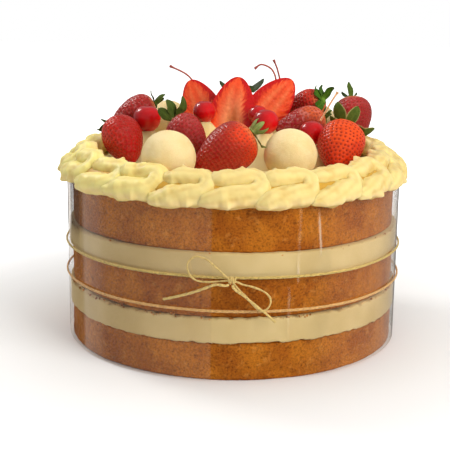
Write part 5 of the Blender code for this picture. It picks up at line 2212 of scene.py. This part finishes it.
@dataclass
class Toppings:
    """Everything on top of the cake."""

    strawberries: tuple[Strawberry, ...] = (
        Strawberry(
            "strawberry_left", (-0.0639, 0.0330, 0.1282), (-0.90, -0.27, -0.35), 0.0290, 0.0215, 20, 0,
            (((0.65, -0.20, 0.72), 0.0088), ((0.50, 0.75, 0.40), 0.0085), ((-0.30, 0.15, 0.94), 0.0085)),
            PURPLE,
        ),
        Strawberry(
            "strawberry_front_left", (-0.0657, -0.0065, 0.1155), (0.38, -0.67, -0.63), 0.0330, 0.0255,
            24, 1,
            (((-0.88, 0.05, -0.44), 0.0120), ((-0.95, 0.25, 0.00), 0.0090), ((0.50, 0.85, 0.10), 0.0085)),
            RED,
        ),
        Strawberry(
            "strawberry_behind_sweet", (-0.0262, -0.0180, 0.1202), (0.62, -0.58, -0.50), 0.0290, 0.0235,
            10, 2,
            (
                ((-0.72, -0.05, 0.70), 0.0125), ((-0.22, 0.10, 0.97), 0.0150),
                ((0.38, 0.10, 0.92), 0.0165), ((0.10, 0.95, 0.20), 0.0085),
            ),
            DUSKY, PADDLES,
        ),
        Strawberry(
            "strawberry_front", (-0.0065, -0.0480, 0.1158), (-0.79, -0.25, -0.56), 0.0410, 0.0275, 25, 3,
            (
                ((0.75, -0.10, 0.65), 0.0090), ((0.97, -0.15, 0.20), 0.0090),
                ((0.55, -0.62, -0.55), 0.0130),
                ((0.38, -0.05, 0.92), 0.0080),
            ),
            TWO_TONE, FRINGED,
        ),
        Strawberry(
            "strawberry_back_right", (0.0450, 0.0440, 0.1325), (-0.80, 0.50, -0.33), 0.0280, 0.0200, 15,
            4,
            (
                ((-0.15, 0.10, 0.98), 0.0095), ((-0.55, -0.35, 0.75), 0.0110),
                ((-0.50, -0.75, -0.40), 0.0110), ((0.55, 0.10, 0.83), 0.0105),
            ),
            look=LOBED,
        ),
        Strawberry(
            "strawberry_right_inner", (0.0404, 0.0100, 0.1251), (-0.94, -0.30, -0.15), 0.0320, 0.0215,
            5, 5,
            (((0.05, 0.05, 1.00), 0.0078), ((0.45, -0.30, 0.80), 0.0075), ((0.50, 0.65, 0.40), 0.0070)),
            MAGENTA,
        ),
        Strawberry(
            "strawberry_right", (0.0612, -0.0290, 0.1166), (-0.20, -0.74, -0.64), 0.0330, 0.0280, 30, 6,
            (
                ((-0.28, 0.00, 0.96), 0.0160), ((0.58, 0.00, 0.81), 0.0150),
                ((0.95, -0.10, -0.12), 0.0175),
                ((-0.82, 0.10, 0.57), 0.0100),
            ),
            ORANGE, EDGED,
        ),
        Strawberry(
            "strawberry_far_right", (0.0762, 0.0350, 0.1258), (0.17, -0.40, -0.90), 0.0290, 0.0245, 0, 7,
            (
                ((-0.10, 0.30, 0.95), 0.0100), ((0.55, 0.80, 0.10), 0.0085),
                ((-0.45, 0.85, 0.20), 0.0085),
            ),
            DUSKY,
        ),
        Strawberry(
            "strawberry_middle", (0.0037, 0.0430, 0.1286), (0.05, 0.36, -0.93), 0.0300, 0.0210, 0, 8,
            (
                ((-0.85, -0.05, 0.36), 0.0140), ((0.88, -0.02, 0.28), 0.0170),
                ((0.20, 0.95, 0.30), 0.0100), ((-0.50, 0.80, 0.30), 0.0100),
            ),
            look=ROUNDED,
        ),
        Strawberry(
            "strawberry_back", (-0.0100, 0.0660, 0.1145), (-0.94, 0.11, -0.32), 0.0310, 0.0220, 10, 9,
            (((0.25, -0.10, 0.95), 0.0062), ((0.30, 0.85, 0.35), 0.0060), ((0.55, -0.75, 0.20), 0.0052)),
        ),
    )
    halves: tuple[HalvedBerry, ...] = (
        HalvedBerry(
            "half_left", (-0.0215, 0.0275, 0.1350), (-0.41, 0.20, 0.89), (-0.15, -0.97, 0.15), 0.0330,
            0.0250, 0.0, 0,
            base_share=0.25, rim_start=0.58, rim_lean=0.10, streak=0.1,
        ),
        HalvedBerry(
            "half_middle", (-0.0005, 0.0100, 0.1350), (0.17, 0.27, 0.95), (-0.05, -0.96, 0.27), 0.0390,
            0.0290, 0.0045, 1,
            base_share=1.0, rim_start=0.48, rim_lean=0.20, streak=0.2,
        ),
        HalvedBerry(
            "half_right", (0.0252, 0.0220, 0.1389), (0.64, 0.18, 0.75), (0.10, -0.97, 0.15), 0.0330,
            0.0250, 0.0, 2,
            base_share=0.2, rim_start=0.60, rim_lean=-0.10, streak=0.35,
        ),
    )
    sweets: tuple[Sweet, ...] = (
        Sweet("sweet_front_left", (-0.0358, -0.0616, 0.1157), 0),
        Sweet("sweet_front_right", (0.0320, -0.0456, 0.1152), 1),
        Sweet("sweet_back_left", (-0.0440, 0.0640, 0.1181), 2),
        Sweet("sweet_back_right", (0.0546, 0.0660, 0.1171), 3),
    )
    cherries: tuple[Cherry, ...] = (
        Cherry("cherry_left", (-0.0538, 0.0140, 0.1273), 0.0084, 0),
        Cherry("cherry_half_left", (-0.0180, 0.0020, 0.1335), 0.0068, 1),
        Cherry("cherry_middle", (0.0187, -0.0130, 0.1300), 0.0076, 2),
        Cherry("cherry_middle_back", (0.0144, 0.0010, 0.1320), 0.0062, 3),
        Cherry("cherry_right", (0.0463, -0.0090, 0.1229), 0.0078, 4),
        Cherry("cherry_stem_left", (-0.0182, 0.0460, 0.1253), 0.0078, 5),
        Cherry("cherry_stem_right", (0.0225, 0.0500, 0.1310), 0.0076, 6),
        Cherry("cherry_back", (0.0240, 0.0630, 0.1180), 0.0076, 7),
    )
    stems: tuple[Stem, ...] = (
        Stem(
            "stem_left",
            (
                (-0.0190, 0.0440, 0.1338), (-0.0240, 0.0400, 0.1440), (-0.0300, 0.0380, 0.1522),
                (-0.0411, 0.0360, 0.1580),
            ),
        ),
        Stem(
            "stem_straight",
            (
                (0.0240, 0.0490, 0.1392), (0.0290, 0.0470, 0.1460), (0.0275, 0.0450, 0.1550),
                (0.0247, 0.0440, 0.1620),
            ),
        ),
        Stem(
            "stem_curved",
            (
                (0.0205, 0.0480, 0.1392), (0.0262, 0.0440, 0.1475), (0.0238, 0.0420, 0.1558),
                (0.0170, 0.0410, 0.1592),
                (0.0125, 0.0405, 0.1565),
            ),
        ),
        Stem(
            "stem_right",
            (
                (0.0512, -0.0095, 0.1303), (0.0545, -0.0080, 0.1360), (0.0578, -0.0060, 0.1415),
                (0.0614, -0.0040, 0.1468),
            ),
            low=light(234, 172, 122), high=light(236, 184, 132),
        ),
    )

    def supports(self) -> Array:
        """Where every topping rests on the cream."""
        resting = (*self.strawberries, *self.halves, *self.sweets, *self.cherries)
        return np.array([topping.support() for topping in resting])

    def build(self) -> None:
        """Every topping."""
        skin, seeds, flesh = BERRY_SKIN.material(), BERRY_SEED.material(), BERRY_FLESH.material()
        leaf, stem = CALYX_LEAF.material(), CHERRY_STEM.material()
        sweet, cherry = SweetFinish().material(), CHERRY_GLAZE.material()
        for strawberry in self.strawberries:
            strawberry.flesh([skin, seeds])
            strawberry.calyx(leaf)
        for half in self.halves:
            half.build(flesh)
        for ball in self.sweets:
            ball.build(sweet)
        for fruit in self.cherries:
            fruit.build(cherry)
        for stalk in self.stems:
            stalk.build(stem)


@dataclass
class Cake:
    """The whole cake, from the bottom up."""

    sponges: tuple[SpongeLayer, ...] = (
        SpongeLayer("sponge_bottom", 0.0, 0.0211, 0.0978, 1, 0.0006),
        SpongeLayer("sponge_middle", 0.0355, 0.0573, 0.0975, 3, 0.0006),
        SpongeLayer("sponge_top", 0.0710, 0.0980, 0.0968, 5, 0.0005),
    )
    creams: tuple[CreamLayer, ...] = (
        CreamLayer("cream_lower", 0.02115, 0.03545, 0.0994, 2, 0.0003, ragged=(0.0005, 0.0007)),
        CreamLayer("cream_upper", 0.05735, 0.07095, 0.0994, 4, 0.0003, ragged=(0.0004, 0.0003)),
    )
    collar: Collar = field(default_factory=Collar)
    twines: tuple[TwineTurn, ...] = (
        TwineTurn("twine_upper", 0.0585, light(214, 184, 104), light(126, 96, 40)),
        TwineTurn("twine_lower", 0.0400, light(222, 174, 108), light(160, 106, 48)),
    )
    bow: Bow = field(default_factory=Bow)
    toppings: Toppings = field(default_factory=Toppings)
    border: PipedBorder = field(default_factory=PipedBorder)

    def build(self) -> None:
        """Every piece, the strands of the bow first."""
        self.bow.build()
        sponge = SpongeFinish().material()
        fill = FILLING_CREAM.material()
        for layer in self.sponges:
            layer.build(sponge)
        for layer in self.creams:
            layer.build(fill)
        Crumbs().build(sponge)
        self.collar.build()
        for twine in self.twines:
            twine.build(self.collar)
        self.toppings.build()
        piped = PIPED_CREAM.material()
        TopCream(self.toppings.supports()).build(piped)
        self.border.build(piped)


def main() -> None:
    """Builds the surroundings and the cake."""
    logging.basicConfig(level=logging.INFO, format="%(message)s")
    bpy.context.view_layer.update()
    Studio().build()
    Cake().build()


if __name__ == "__main__":
    main()
